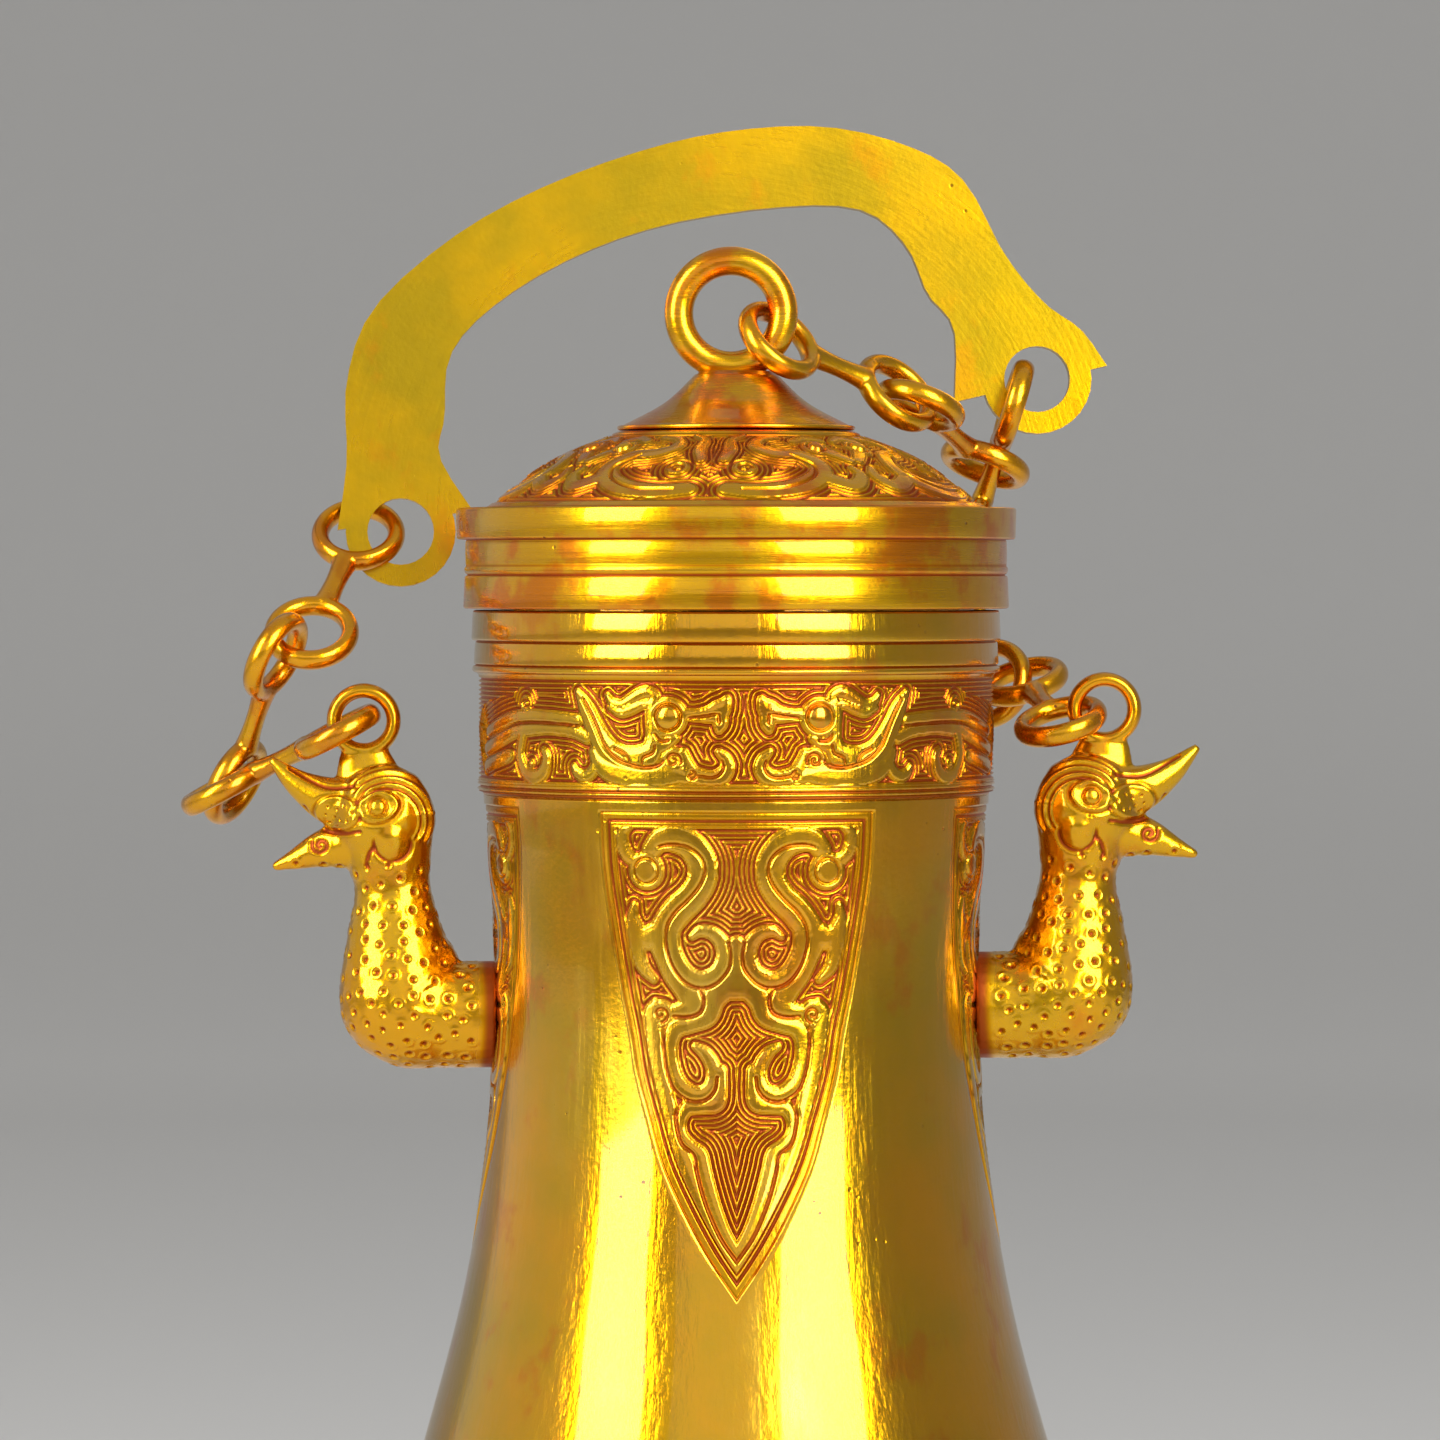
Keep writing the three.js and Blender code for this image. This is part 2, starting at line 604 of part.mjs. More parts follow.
function handlePlate() {
  const outline = new THREE.Shape();
  outline.moveTo(...archOuter[0]);
  outline.splineThru(archOuter.slice(1).map(([u, v]) => new THREE.Vector2(u, v)));
  outline.lineTo(...archInner[0]);
  outline.splineThru(archInner.slice(1).map(([u, v]) => new THREE.Vector2(u, v)));
  const slab = { depth: handleThickness, bevelEnabled: false, curveSegments: 3 };
  let plate = toSolid(new THREE.ExtrudeGeometry(outline, slab).translate(0, 0, -handleThickness / 2));
  for (const side of [-1, 1]) {
    const disc = (radius, depth) =>
      toSolid(
        new THREE.CylinderGeometry(radius, radius, depth, 28)
          .rotateX(Math.PI / 2)
          .translate(side * eyeSpan, 0, 0),
      );
    plate = plate.add(disc(eyeHole + eyeRim, handleThickness)).subtract(disc(eyeHole, 3 * handleThickness));
  }
  return toGeometry(plate);
}

const handleFrame = new THREE.Matrix4()
  .makeTranslation(...handleMiddle.toArray())
  .multiply(new THREE.Matrix4().makeRotationZ(THREE.MathUtils.degToRad(handleYaw)))
  .multiply(new THREE.Matrix4().makeRotationY(-THREE.MathUtils.degToRad(handleRoll)))
  .multiply(new THREE.Matrix4().makeRotationX(Math.PI / 2 - THREE.MathUtils.degToRad(handleLean)));
piece("handle", handlePlate().applyMatrix4(handleFrame), colours.brass);

// Chains: every link is the same casting, two rings joined by a bar

function linkSolid() {
  const bar = new THREE.CylinderGeometry(barWidth / 2, barWidth / 2, linkPitch - 2 * ringRadius, 8);
  bar.rotateZ(Math.PI / 2).scale(1, ringDepth / barWidth, 1);
  let solid = toSolid(bar);
  for (const side of [-1, 1]) {
    const end = ring(ringRadius, ringWire, ringDepth, ringSteps, wireSides);
    solid = solid.add(toSolid(end.translate((side * linkPitch) / 2, 0, 0)));
  }
  return solid;
}

const linkGeometry = toGeometry(linkSolid());
const vector = (list) => new THREE.Vector3(...list);
const step = (from, direction, length) => from.clone().addScaledVector(vector(direction).normalize(), length);

function link(name, first, second, broad) {
  // a link from one ring middle to the other, with the flat of its rings spread along broad
  const along = second.clone().sub(first).normalize();
  const spread = vector(broad).projectOnPlane(along).normalize();
  const across = spread.clone().cross(along);
  const mesh = piece(name, linkGeometry.clone(), colours.chain);
  mesh.quaternion.setFromRotationMatrix(new THREE.Matrix4().makeBasis(along, across, spread));
  mesh.position.copy(first).add(second).multiplyScalar(0.5);
}

function meeting(a, b, towards) {
  // the point one link pitch from both a and b, out to the given side of the line between them
  const line = b.clone().sub(a);
  const out = Math.sqrt(linkPitch ** 2 - line.lengthSq() / 4);
  const side = vector(towards).projectOnPlane(line.clone().normalize()).normalize();
  return a.clone().add(b).multiplyScalar(0.5).addScaledVector(side, out);
}

function around(middle, angle, reach) {
  // the point at an angle and a reach from the middle of an upright ring that faces the front
  const turn = THREE.MathUtils.degToRad(angle);
  return middle.clone().add(new THREE.Vector3(reach * Math.cos(turn), 0, reach * Math.sin(turn)));
}

function eyeHook(side, chain) {
  const turn = THREE.MathUtils.degToRad(chain.hook);
  const reach = eyeHole + chain.hookDepth * eyeRim;
  const onPlate = new THREE.Vector3(side * eyeSpan + reach * Math.cos(turn), reach * Math.sin(turn), 0);
  return onPlate.applyMatrix4(handleFrame);
}

function sideChain(name, side, chain, birdLoop) {
  const hook = eyeHook(side, chain);
  const knee = step(hook, chain.lean, linkPitch);
  const next = knee.clone().addScaledVector(vector(chain.fall), ringRadius);
  const fold = vector(chain.fold).multiplyScalar(ringRadius);
  const seat = around(birdLoop, chain.seat, chain.seatReach);
  const elbow = meeting(next, seat.clone().sub(fold), chain.elbow);
  link(`${name}_link_1`, hook, knee, chain.broad[0]);
  link(`${name}_link_2`, next, elbow, chain.broad[1]);
  link(`${name}_link_3`, seat, elbow.clone().add(fold), chain.broad[2]);
}

const birdLoop = new THREE.Vector3(birdLoopMiddle[0], 0, birdLoopMiddle[1]);
const leftLoop = birdLoop.clone().applyMatrix4(leftBirdPlace);
const rightLoop = birdLoop.clone().applyMatrix4(rightBirdPlace);
sideChain("left", -1, leftChain, leftLoop);
sideChain("right", 1, rightChain, rightLoop);

const tetherSeat = around(loopMiddle, lidChain.seat, lidChain.seatReach);
const tetherKnee = step(tetherSeat, lidChain.lean, linkPitch);
const tetherNext = tetherKnee.clone().addScaledVector(vector(lidChain.fall), ringRadius);
link("lid_link_1", tetherSeat, tetherKnee, lidChain.broad[0]);
link("lid_link_2", tetherNext, step(tetherNext, lidChain.run, linkPitch), lidChain.broad[1]);

export default group;
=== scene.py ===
import json
import math

import bpy
import numpy as np
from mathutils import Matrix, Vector

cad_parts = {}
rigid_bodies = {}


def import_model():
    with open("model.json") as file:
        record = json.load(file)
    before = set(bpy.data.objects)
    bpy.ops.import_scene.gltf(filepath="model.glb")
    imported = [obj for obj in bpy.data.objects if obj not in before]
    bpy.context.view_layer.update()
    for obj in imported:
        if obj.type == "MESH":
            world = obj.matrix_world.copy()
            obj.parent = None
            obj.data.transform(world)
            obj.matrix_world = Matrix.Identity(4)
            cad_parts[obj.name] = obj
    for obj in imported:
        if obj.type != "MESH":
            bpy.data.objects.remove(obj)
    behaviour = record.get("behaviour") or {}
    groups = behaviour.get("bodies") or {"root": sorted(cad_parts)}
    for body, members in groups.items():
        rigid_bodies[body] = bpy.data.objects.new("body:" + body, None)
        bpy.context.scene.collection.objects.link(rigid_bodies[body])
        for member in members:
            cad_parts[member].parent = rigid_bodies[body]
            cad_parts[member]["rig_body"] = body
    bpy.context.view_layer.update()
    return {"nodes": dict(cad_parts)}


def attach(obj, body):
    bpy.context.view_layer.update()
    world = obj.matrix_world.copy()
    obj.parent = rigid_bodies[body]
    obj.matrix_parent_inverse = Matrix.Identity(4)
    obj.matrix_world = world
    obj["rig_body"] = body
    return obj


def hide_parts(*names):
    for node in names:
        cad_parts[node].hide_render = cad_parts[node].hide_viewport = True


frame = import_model()
nodes = frame["nodes"]
mm = 0.001
thinnest = 0.02  # half width of the finest stroke
farOff = 1e3  # further than any stroke lies
print("frame loaded:", len(nodes), "nodes")


# drawing helpers: everything is in millimetres until a mesh is made

def smoothStep(low, high, value):
    t = np.clip((value - low) / (high - low), 0, 1)
    return t * t * (3 - 2 * t)


def curveThrough(points, perSpan=8):
    # evenly timed spline through the points, its ends carried straight on
    p = np.array(points, float)
    p = np.vstack([2 * p[0] - p[1], p, 2 * p[-1] - p[-2]])
    t = np.linspace(0, 1, perSpan, endpoint=False)[:, None]
    spans = []
    for a, b, c, d in zip(p[:-3], p[1:-2], p[2:-1], p[3:]):
        spans.append(0.5 * (2 * b + (c - a) * t + (2 * a - 5 * b + 4 * c - d) * t ** 2
                            + (3 * b - a - 3 * c + d) * t ** 3))
    return np.vstack(spans + [p[-2:-1]])


def strokeDistance(u, v, stroke, perSpan=5):
    # distance to a brush stroke of (u, v, half width), negative inside it
    line = curveThrough(stroke, perSpan) if len(stroke) > 1 else np.array(stroke * 2, float)
    line[:, 2] = np.maximum(line[:, 2], thinnest)
    best = np.full(u.shape, farOff)
    for a, b in zip(line[:-1], line[1:]):
        du, dv = b[0] - a[0], b[1] - a[1]
        share = np.clip(((u - a[0]) * du + (v - a[1]) * dv) / max(du * du + dv * dv, 1e-9), 0, 1)
        reach = np.hypot(u - a[0] - share * du, v - a[1] - share * dv)
        best = np.minimum(best, reach - a[2] - share * (b[2] - a[2]))
    return best


def nearest(u, v, strokes):
    return np.minimum.reduce([strokeDistance(u, v, stroke) for stroke in strokes])


def ridge(value, middle, width):
    # a rounded ridge, 1 high where the value is at its middle
    return np.exp(-((value - middle) / width) ** 2)


def spiral(middle, outer, turns=1.4, start=90, hand=1, width=0.16):
    steps = int(10 * turns)
    points = []
    for i in range(steps + 1):
        angle = math.radians(start + hand * 360 * turns * i / steps)
        radius = outer * (1 - 0.82 * i / steps)  # winds in to a small eye
        points.append((middle[0] + radius * math.cos(angle), middle[1] + radius * math.sin(angle), width))
    return points


def carve(u, v, figures, grooves, bosses, border, look):
    # height of the relief over the plain surface; the ground follows the figures in threads
    figure = nearest(u, v, figures)
    for mu, mv, _, ring in bosses:
        figure = np.minimum(figure, np.hypot(u - mu, v - mv) - ring)
    away = np.minimum(figure, border)
    ground = smoothStep(0, look["edge"], away)
    thread = 0.5 - 0.5 * np.cos(2 * np.pi * np.maximum(away, 0) / look["pitch"])
    height = ground * (thread * look["thread"] - look["depth"])
    height = height + look["crown"] * (smoothStep(0, look["crownReach"], -figure) - 1) * (figure < 0)
    cut = 1 - smoothStep(0, look["edge"], nearest(u, v, grooves))
    height = height - cut * look["groove"] * (1 - 0.7 * ground)
    for mu, mv, boss, ring in bosses:
        reach = np.hypot(u - mu, v - mv)
        dome = np.sqrt(np.clip(1 - (reach / boss) ** 2, 0, 1)) * look["boss"]
        moat = ridge(reach, boss + 0.25, 0.22) * look["groove"]
        height = np.where(reach < ring, dome - moat, height)
    return height


def recessed(height, look):
    # how deep each point of the relief lies, from 0 to 1
    return np.clip(-height / look["depth"], 0, 1)


# mesh helpers

def makePiece(name, points, quads, triangles, depth, body, replaced, material):
    quads = np.array(quads, np.int32).reshape(-1, 4)
    triangles = np.array(triangles, np.int32).reshape(-1, 3)
    split = np.vstack([quads[:, [0, 1, 2]], quads[:, [0, 2, 3]], triangles])
    a, b, c = (points[split[:, i]] for i in range(3))
    if np.einsum("ij,ij->", a, np.cross(b, c)) < 0:  # faces point outwards
        quads, triangles = quads[:, ::-1], triangles[:, ::-1]
    mesh = bpy.data.meshes.new(name)
    mesh.vertices.add(len(points))
    mesh.vertices.foreach_set("co", (points * mm).astype(np.float32).ravel())
    mesh.loops.add(quads.size + triangles.size)
    mesh.loops.foreach_set("vertex_index", np.concatenate([quads.ravel(), triangles.ravel()]))
    mesh.polygons.add(len(quads) + len(triangles))
    starts = np.concatenate([np.arange(len(quads)) * 4, quads.size + np.arange(len(triangles)) * 3])
    mesh.polygons.foreach_set("loop_start", starts.astype(np.int32))
    mesh.update(calc_edges=True)
    mesh.polygons.foreach_set("use_smooth", np.ones(len(mesh.polygons), bool))
    if depth is not None:  # the material darkens what lies deep: a real dull orange-brown tarnish, and painted shade
        layer = mesh.attributes.new("relief", "FLOAT", "POINT")
        layer.data.foreach_set("value", np.asarray(depth, np.float32).ravel())
    mesh.materials.append(material)
    piece = bpy.data.objects.new(name, mesh)
    bpy.context.scene.collection.objects.link(piece)
    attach(piece, body)
    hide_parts(replaced)
    print("made", name, len(points), "points")


def rowGrids(rows, columns):
    # a profile's rows, such as (radius, height, tarnish and painted shade), each repeated round the axis as
    # one grid
    table = np.array(rows, float)
    return [np.repeat(table[:, i:i + 1], columns, 1) for i in range(table.shape[1])]


def turnedFaces(rows, columns, closed=False):
    a = np.arange(rows * columns).reshape(rows, columns)
    lower = np.roll(a, -1, 0) if closed else a[1:]
    upper = a if closed else a[:-1]
    return np.stack([upper, np.roll(upper, -1, 1), np.roll(lower, -1, 1), lower], -1).reshape(-1, 4)


def turnedPoints(radii, heights, angle=None):
    # rows of radii (rows, columns) round the axis; column 0 faces the front
    columns = radii.shape[1]
    if angle is None:
        angle = -np.pi / 2 + 2 * np.pi * np.arange(columns) / columns
    return np.stack([radii * np.cos(angle), radii * np.sin(angle), heights], -1).reshape(-1, 3)


def fanAt(first, count, pole):
    ring = first + np.arange(count)
    return np.stack([np.full(count, pole), ring, np.roll(ring, -1)], -1)


def fused(shells, voxel, passes):
    # closed shells of (points, faces) melted into one skin; returns points, quads and normals
    points, faces, offset = [], [], 0
    for shellPoints, shellFaces in shells:
        points.append(np.asarray(shellPoints, float))
        faces += [[int(i) + offset for i in f] for f in shellFaces]
        offset += len(shellPoints)
    mesh = bpy.data.meshes.new("draft")
    mesh.from_pydata((np.vstack(points) * mm).tolist(), [], faces)
    mesh.update()
    draft = bpy.data.objects.new("draft", mesh)
    bpy.context.scene.collection.objects.link(draft)
    melt = draft.modifiers.new("melt", "REMESH")
    melt.mode = "VOXEL"
    melt.voxel_size = voxel * mm
    ease = draft.modifiers.new("ease", "SMOOTH")
    ease.factor = 0.5
    ease.iterations = passes
    made = bpy.data.meshes.new_from_object(draft.evaluated_get(bpy.context.evaluated_depsgraph_get()))
    count = len(made.vertices)
    skin, normals = np.zeros(count * 3, np.float32), np.zeros(count * 3, np.float32)
    made.vertices.foreach_get("co", skin)
    made.vertex_normals.foreach_get("vector", normals)
    quads = np.zeros(len(made.loops), np.int32)
    made.loops.foreach_get("vertex_index", quads)
    bpy.data.objects.remove(draft)
    skin, normals = (values.reshape(-1, 3).astype(float) for values in (skin, normals))
    return skin / mm, quads.reshape(-1, 4), normals


def cappedFaces(rows, sides):
    last = (rows - 1) * sides
    return turnedFaces(rows, sides).tolist() + [list(range(sides))[::-1], list(range(last, last + sides))]


def limbShell(stations, flat, sides=28, perSpan=9):
    # oval tube in the side view along (x, z, half thickness), with closed ends
    line = curveThrough(stations, perSpan)
    way = np.gradient(line[:, :2], axis=0)
    way /= np.linalg.norm(way, axis=1)[:, None]
    angle = 2 * np.pi * np.arange(sides) / sides
    across = line[:, 2:3] * np.cos(angle)
    points = np.stack([line[:, :1] - way[:, 1:2] * across, line[:, 2:3] * flat * np.sin(angle),
                       line[:, 1:2] + way[:, :1] * across], -1).reshape(-1, 3)
    return points, cappedFaces(len(line), sides)


def ringShell(middle, radius, wire, depth, steps=72, sides=20):
    # ring about the Y axis with an oval wire
    turn = (2 * np.pi * np.arange(steps) / steps)[:, None]
    side = 2 * np.pi * np.arange(sides) / sides
    reach = radius + wire / 2 * np.cos(side)
    points = np.stack([middle[0] + reach * np.cos(turn), middle[1] + depth / 2 * np.sin(side) + 0 * turn,
                       middle[2] + reach * np.sin(turn)], -1).reshape(-1, 3)
    return points, turnedFaces(steps, sides, closed=True)


# materials

class Wire:
    # one socket of a node tree, with maths written as plain expressions
    def __init__(self, tree, socket=None):
        self.tree = tree
        self.socket = socket

    def node(self, kind, settings=None, sockets=None, out=0):
        made = self.tree.nodes.new(kind)
        for name, value in (settings or {}).items():
            setattr(made, name, value)
        for name, value in (sockets or {}).items():
            if isinstance(value, Wire):
                self.tree.links.new(value.socket, made.inputs[name])
            else:
                made.inputs[name].default_value = value
        return Wire(self.tree, made.outputs[out])

    def maths(self, operation, first, second):
        return self.node("ShaderNodeMath", {"operation": operation}, {0: first, 1: second})

    def __add__(self, other):
        return self.maths("ADD", self, other)

    def __radd__(self, other):
        return self.maths("ADD", other, self)

    def __sub__(self, other):
        return self.maths("SUBTRACT", self, other)

    def __rsub__(self, other):
        return self.maths("SUBTRACT", other, self)

    def __mul__(self, other):
        return self.maths("MULTIPLY", self, other)

    def __rmul__(self, other):
        return self.maths("MULTIPLY", other, self)

    def __pow__(self, other):
        return self.maths("POWER", self, other)

    def __rpow__(self, other):
        return self.maths("POWER", other, self)

    def between(self, low, high):
        # 0 below low, 1 above high, eased between
        return self.node("ShaderNodeMapRange", {"interpolation_type": "SMOOTHSTEP"},
                         {"Value": self, "From Min": low, "From Max": high})

    def blend(self, first, second):
        # this value fades from the first colour to the second
        return self.node("ShaderNodeMix", {"data_type": "RGBA"}, {0: self, 6: first, 7: second}, 2)

    def stretched(self, scale):
        return self.node("ShaderNodeVectorMath", {"operation": "MULTIPLY"}, {0: self, 1: scale})

    def noise(self, scale, detail=3, roughness=0.55):
        return self.node("ShaderNodeTexNoise", None,
                         {"Vector": self, "Scale": scale, "Detail": detail, "Roughness": roughness})

    def cells(self, scale):
        return self.node("ShaderNodeTexVoronoi", None, {"Vector": self, "Scale": scale})


def rgba(colour):
    # a colour as it is seen, 0 to 255, to Blender's linear values
    linear = [((c / 255 + 0.055) / 1.055) ** 2.4 if c > 10 else c / 255 / 12.92 for c in colour]
    return (*linear, 1)


def gildedMetal(name, look):
    material = bpy.data.materials.new(name)
    material.use_nodes = True
    tree = material.node_tree
    shader = tree.nodes["Principled BSDF"]
    wire = Wire(tree)
    place = wire.node("ShaderNodeTexCoord", None, None, 3)
    broad = place.noise(look["cloudScale"], 4)
    warm = place.stretched((1.3, 1.3, 1.0)).noise(look["patchScale"], 6, 0.62)
    fine = place.noise(look["grainScale"], 3)
    grainWay = place
    if look["arch"]:  # brushed round the middle of the arch: turn, reach
        seat = place.node("ShaderNodeVectorMath", {"operation": "SUBTRACT"}, {0: place, 1: look["arch"]})
        x, z = (seat.node("ShaderNodeSeparateXYZ", None, {0: seat}, i) for i in (0, 2))
        turn = x.maths("ARCTAN2", x, z)
        reach = (x * x + z * z) ** 0.5
        grainWay = turn.node("ShaderNodeCombineXYZ", None, {0: turn, 1: reach, 2: 0.0})
    brushed = grainWay.stretched(look["brushing"]).noise(1, 4, 0.6)
    pits = 1 - place.cells(look["pitScale"]).between(0.04, 0.14)
    pits = pits * place.noise(look["pitScale"] * 0.21, 1).between(0.62, 0.7)  # in clusters

    colour = broad.between(0.35, 0.68).blend(rgba(look["gold"]), rgba(look["greenGold"]))
    patches = warm.between(look["patchFrom"], look["patchFrom"] + look["patchFade"]) * look["patchShare"]
    colour = patches.blend(colour, rgba(look["patch"]))
    rough = look["roughness"] + look["cloudRough"] * (broad - 0.5) + look["brushRough"] * (brushed - 0.5)
    rough = rough + pits * look["pitRough"]
    height = brushed * look["brushBump"] + fine * look["grainBump"] - pits * look["pitBump"]
    if look["smear"]:  # dull pale streaks down the wall
        streaks = place.stretched((1, 1, 0.3)).noise(look["smearScale"], 6, 0.66)
        smear = streaks.between(0.54, 0.76) * look["smear"]
        colour = smear.blend(colour, rgba(look["smearColour"]))
        rough = rough + smear * look["smearRough"]
    if look["waves"]:  # an uneven, beaten face
        height = height + place.noise(look["waveScale"], 1) * look["waves"]
    if look["carved"]:  # the recesses get painted shade over a real dull orange-brown tarnish, and are dull and uncoated
        deep = wire.node("ShaderNodeAttribute", {"attribute_name": "relief"}, None, 2)
        # painted shade: the deeper a point lies, the nearer its colour comes to the dark recess colour
        colour = deep.between(0.12, 0.85).blend(colour, rgba(look["recess"]))
        rough = rough + deep * look["recessRough"]
        metal = 1 - deep.between(0.3, 1.0) * look["dullRecess"]
        coat = (1 - deep.between(0.08, 0.5)) * look["coat"]
        tree.links.new(metal.socket, shader.inputs["Metallic"])
        tree.links.new(coat.socket, shader.inputs["Coat Weight"])
    else:
        shader.inputs["Metallic"].default_value = 1
        shader.inputs["Coat Weight"].default_value = look["coat"]
    colour = (pits * look["pitShare"]).blend(colour, rgba(look["pit"]))
    bump = wire.node("ShaderNodeBump", None,
                     {"Strength": look["bump"], "Distance": look["bumpReach"], "Height": height})
    tree.links.new(colour.socket, shader.inputs["Base Color"])
    tree.links.new(rough.socket, shader.inputs["Roughness"])
    tree.links.new(bump.socket, shader.inputs["Normal"])
    shader.inputs["Coat Roughness"].default_value = look["coatRoughness"]
    return material


giltLook = {  # scales are waves or cells to the metre, lengths are metres
    "gold": (231, 162, 8), "greenGold": (212, 163, 10), "patch": (214, 104, 4),
    # recess: dark orange-brown of the hollows, partly real tarnish and partly painted shade
    "recess": (150, 62, 2), "pit": (96, 46, 6), "smearColour": (206, 172, 70),
    "cloudScale": 26, "patchScale": 62, "patchFrom": 0.56, "patchFade": 0.13, "patchShare": 0.3,
    "grainScale": 900, "pitScale": 300, "pitShare": 0.8, "smearScale": 30, "waveScale": 24,
    "brushing": (700, 700, 60), "arch": None, "carved": True, "smear": 0, "waves": 0,
    "roughness": 0.2, "cloudRough": 0.16, "brushRough": 0.14, "pitRough": 0.2, "recessRough": 0.2,
    "smearRough": 0.3, "dullRecess": 0.3, "coat": 0.42, "coatRoughness": 0.06,
    "bump": 0.3, "bumpReach": 0.0004, "brushBump": 0.5, "grainBump": 0.3, "pitBump": 0.8,
}
neckGilt = gildedMetal("neck_gilt", {
    **giltLook, "greenGold": (200, 158, 12), "patchFrom": 0.54, "patchShare": 0.42,
    "smear": 0.55, "roughness": 0.18, "coat": 0.65, "brushBump": 0.8})
lidGilt = gildedMetal("lid_gilt", {
    **giltLook, "brushing": (50, 50, 1500), "patchFrom": 0.46, "patchShare": 0.7, "roughness": 0.26})
birdGilt = gildedMetal("bird_gilt", {
    **giltLook, "gold": (230, 158, 6), "patchShare": 0.4, "roughness": 0.25, "brushing": (400, 400, 400)})
chainGilt = gildedMetal("chain_gilt", {
    **giltLook, "gold": (230, 158, 8), "greenGold": (210, 155, 10), "patch": (196, 98, 6),
    "patchFrom": 0.5, "patchShare": 0.5, "brushing": (300, 300, 300), "carved": False,
    "roughness": 0.27, "bump": 0.4})
handleBrass = gildedMetal("handle_brass", {
    **giltLook, "gold": (208, 160, 6), "greenGold": (168, 138, 12), "patch": (212, 128, 6),
    "patchShare": 0.35, "cloudScale": 44, "arch": (-0.003, 0.03, 0.3045), "brushing": (9, 1400, 1),
    "waves": 6, "carved": False, "roughness": 0.3, "coat": 0.2, "bump": 0.22, "brushBump": 0.25})
footGilt = gildedMetal("foot_gilt", {**giltLook, "brushing": (50, 50, 1500)})
print("made six finishes")


# vessel: bands at the mouth, dragon frieze, waisted neck with four leaves, plain belly

vessel = {
    "mouthColumns": 1400, "neckColumns": 1000, "leafShare": 0.76,  # share of the neck's columns in its leaves
    "mouth": 286.2, "bore": 43.3, "band": 47.6, "lowerBand": 47.2, "frieze": 46.6, "bevel": 0.45, "lean": 0.2,
    "bandBottom": 280.8, "lowerBandBottom": 276.4, "beadBottom": 275.1, "friezeBottom": 253.8, "seam": 253.2,
    "ledge": 45.6, "neckEdge": 45.45,
    "wall": 3, "base": 20.3, "floor": 23.8, "baseRadius": 44, "widest": 75.9, "poleRadius": 2,
    "profile": [(45.5, 253.8), (43.8, 214), (47.77, 171.65), (56.2, 137), (64.12, 113.55), (71.64, 93.45),
                (76, 70), (71.84, 45.15), (60, 27.76), (44, 20.3)],
    "leafTop": 251.5, "leafBottom": 163.5, "leafRadius": 45,
    "near": 0.965, "friezeNear": 0.955,  # the front is nearer to the camera and drawn this much too large
    "friezeRow": 0.21, "leafRow": 0.24, "friezeTurn": 1.3,
    "wobble": 0.09,
    "waves": [(5, 9, 0, 1), (9, -6.5, 1, 0.8), (3, 15, 2, 0.6)],  # times round, rise, start, share
}
reliefLook = {
    "depth": 0.85, "thread": 0.62, "pitch": 0.82, "edge": 0.3, "crown": 0.07, "crownReach": 1.2,
    "groove": 0.55, "boss": 0.75,
    "strip": 1.9, "stripPitch": 0.95, "stripDepth": 0.7,  # ridged strip below the frieze
    "rim": 2.5,  # width of a leaf's rim, and its profile from the edge in
    "rimAway": [0, 0.2, 0.45, 1.35, 1.6, 1.8, 2.1, 2.3, 2.5, 2.7],
    "rimHeight": [0, -0.55, -0.3, -0.3, -0.75, -0.75, -0.25, -0.25, -0.75, -0.8],
}

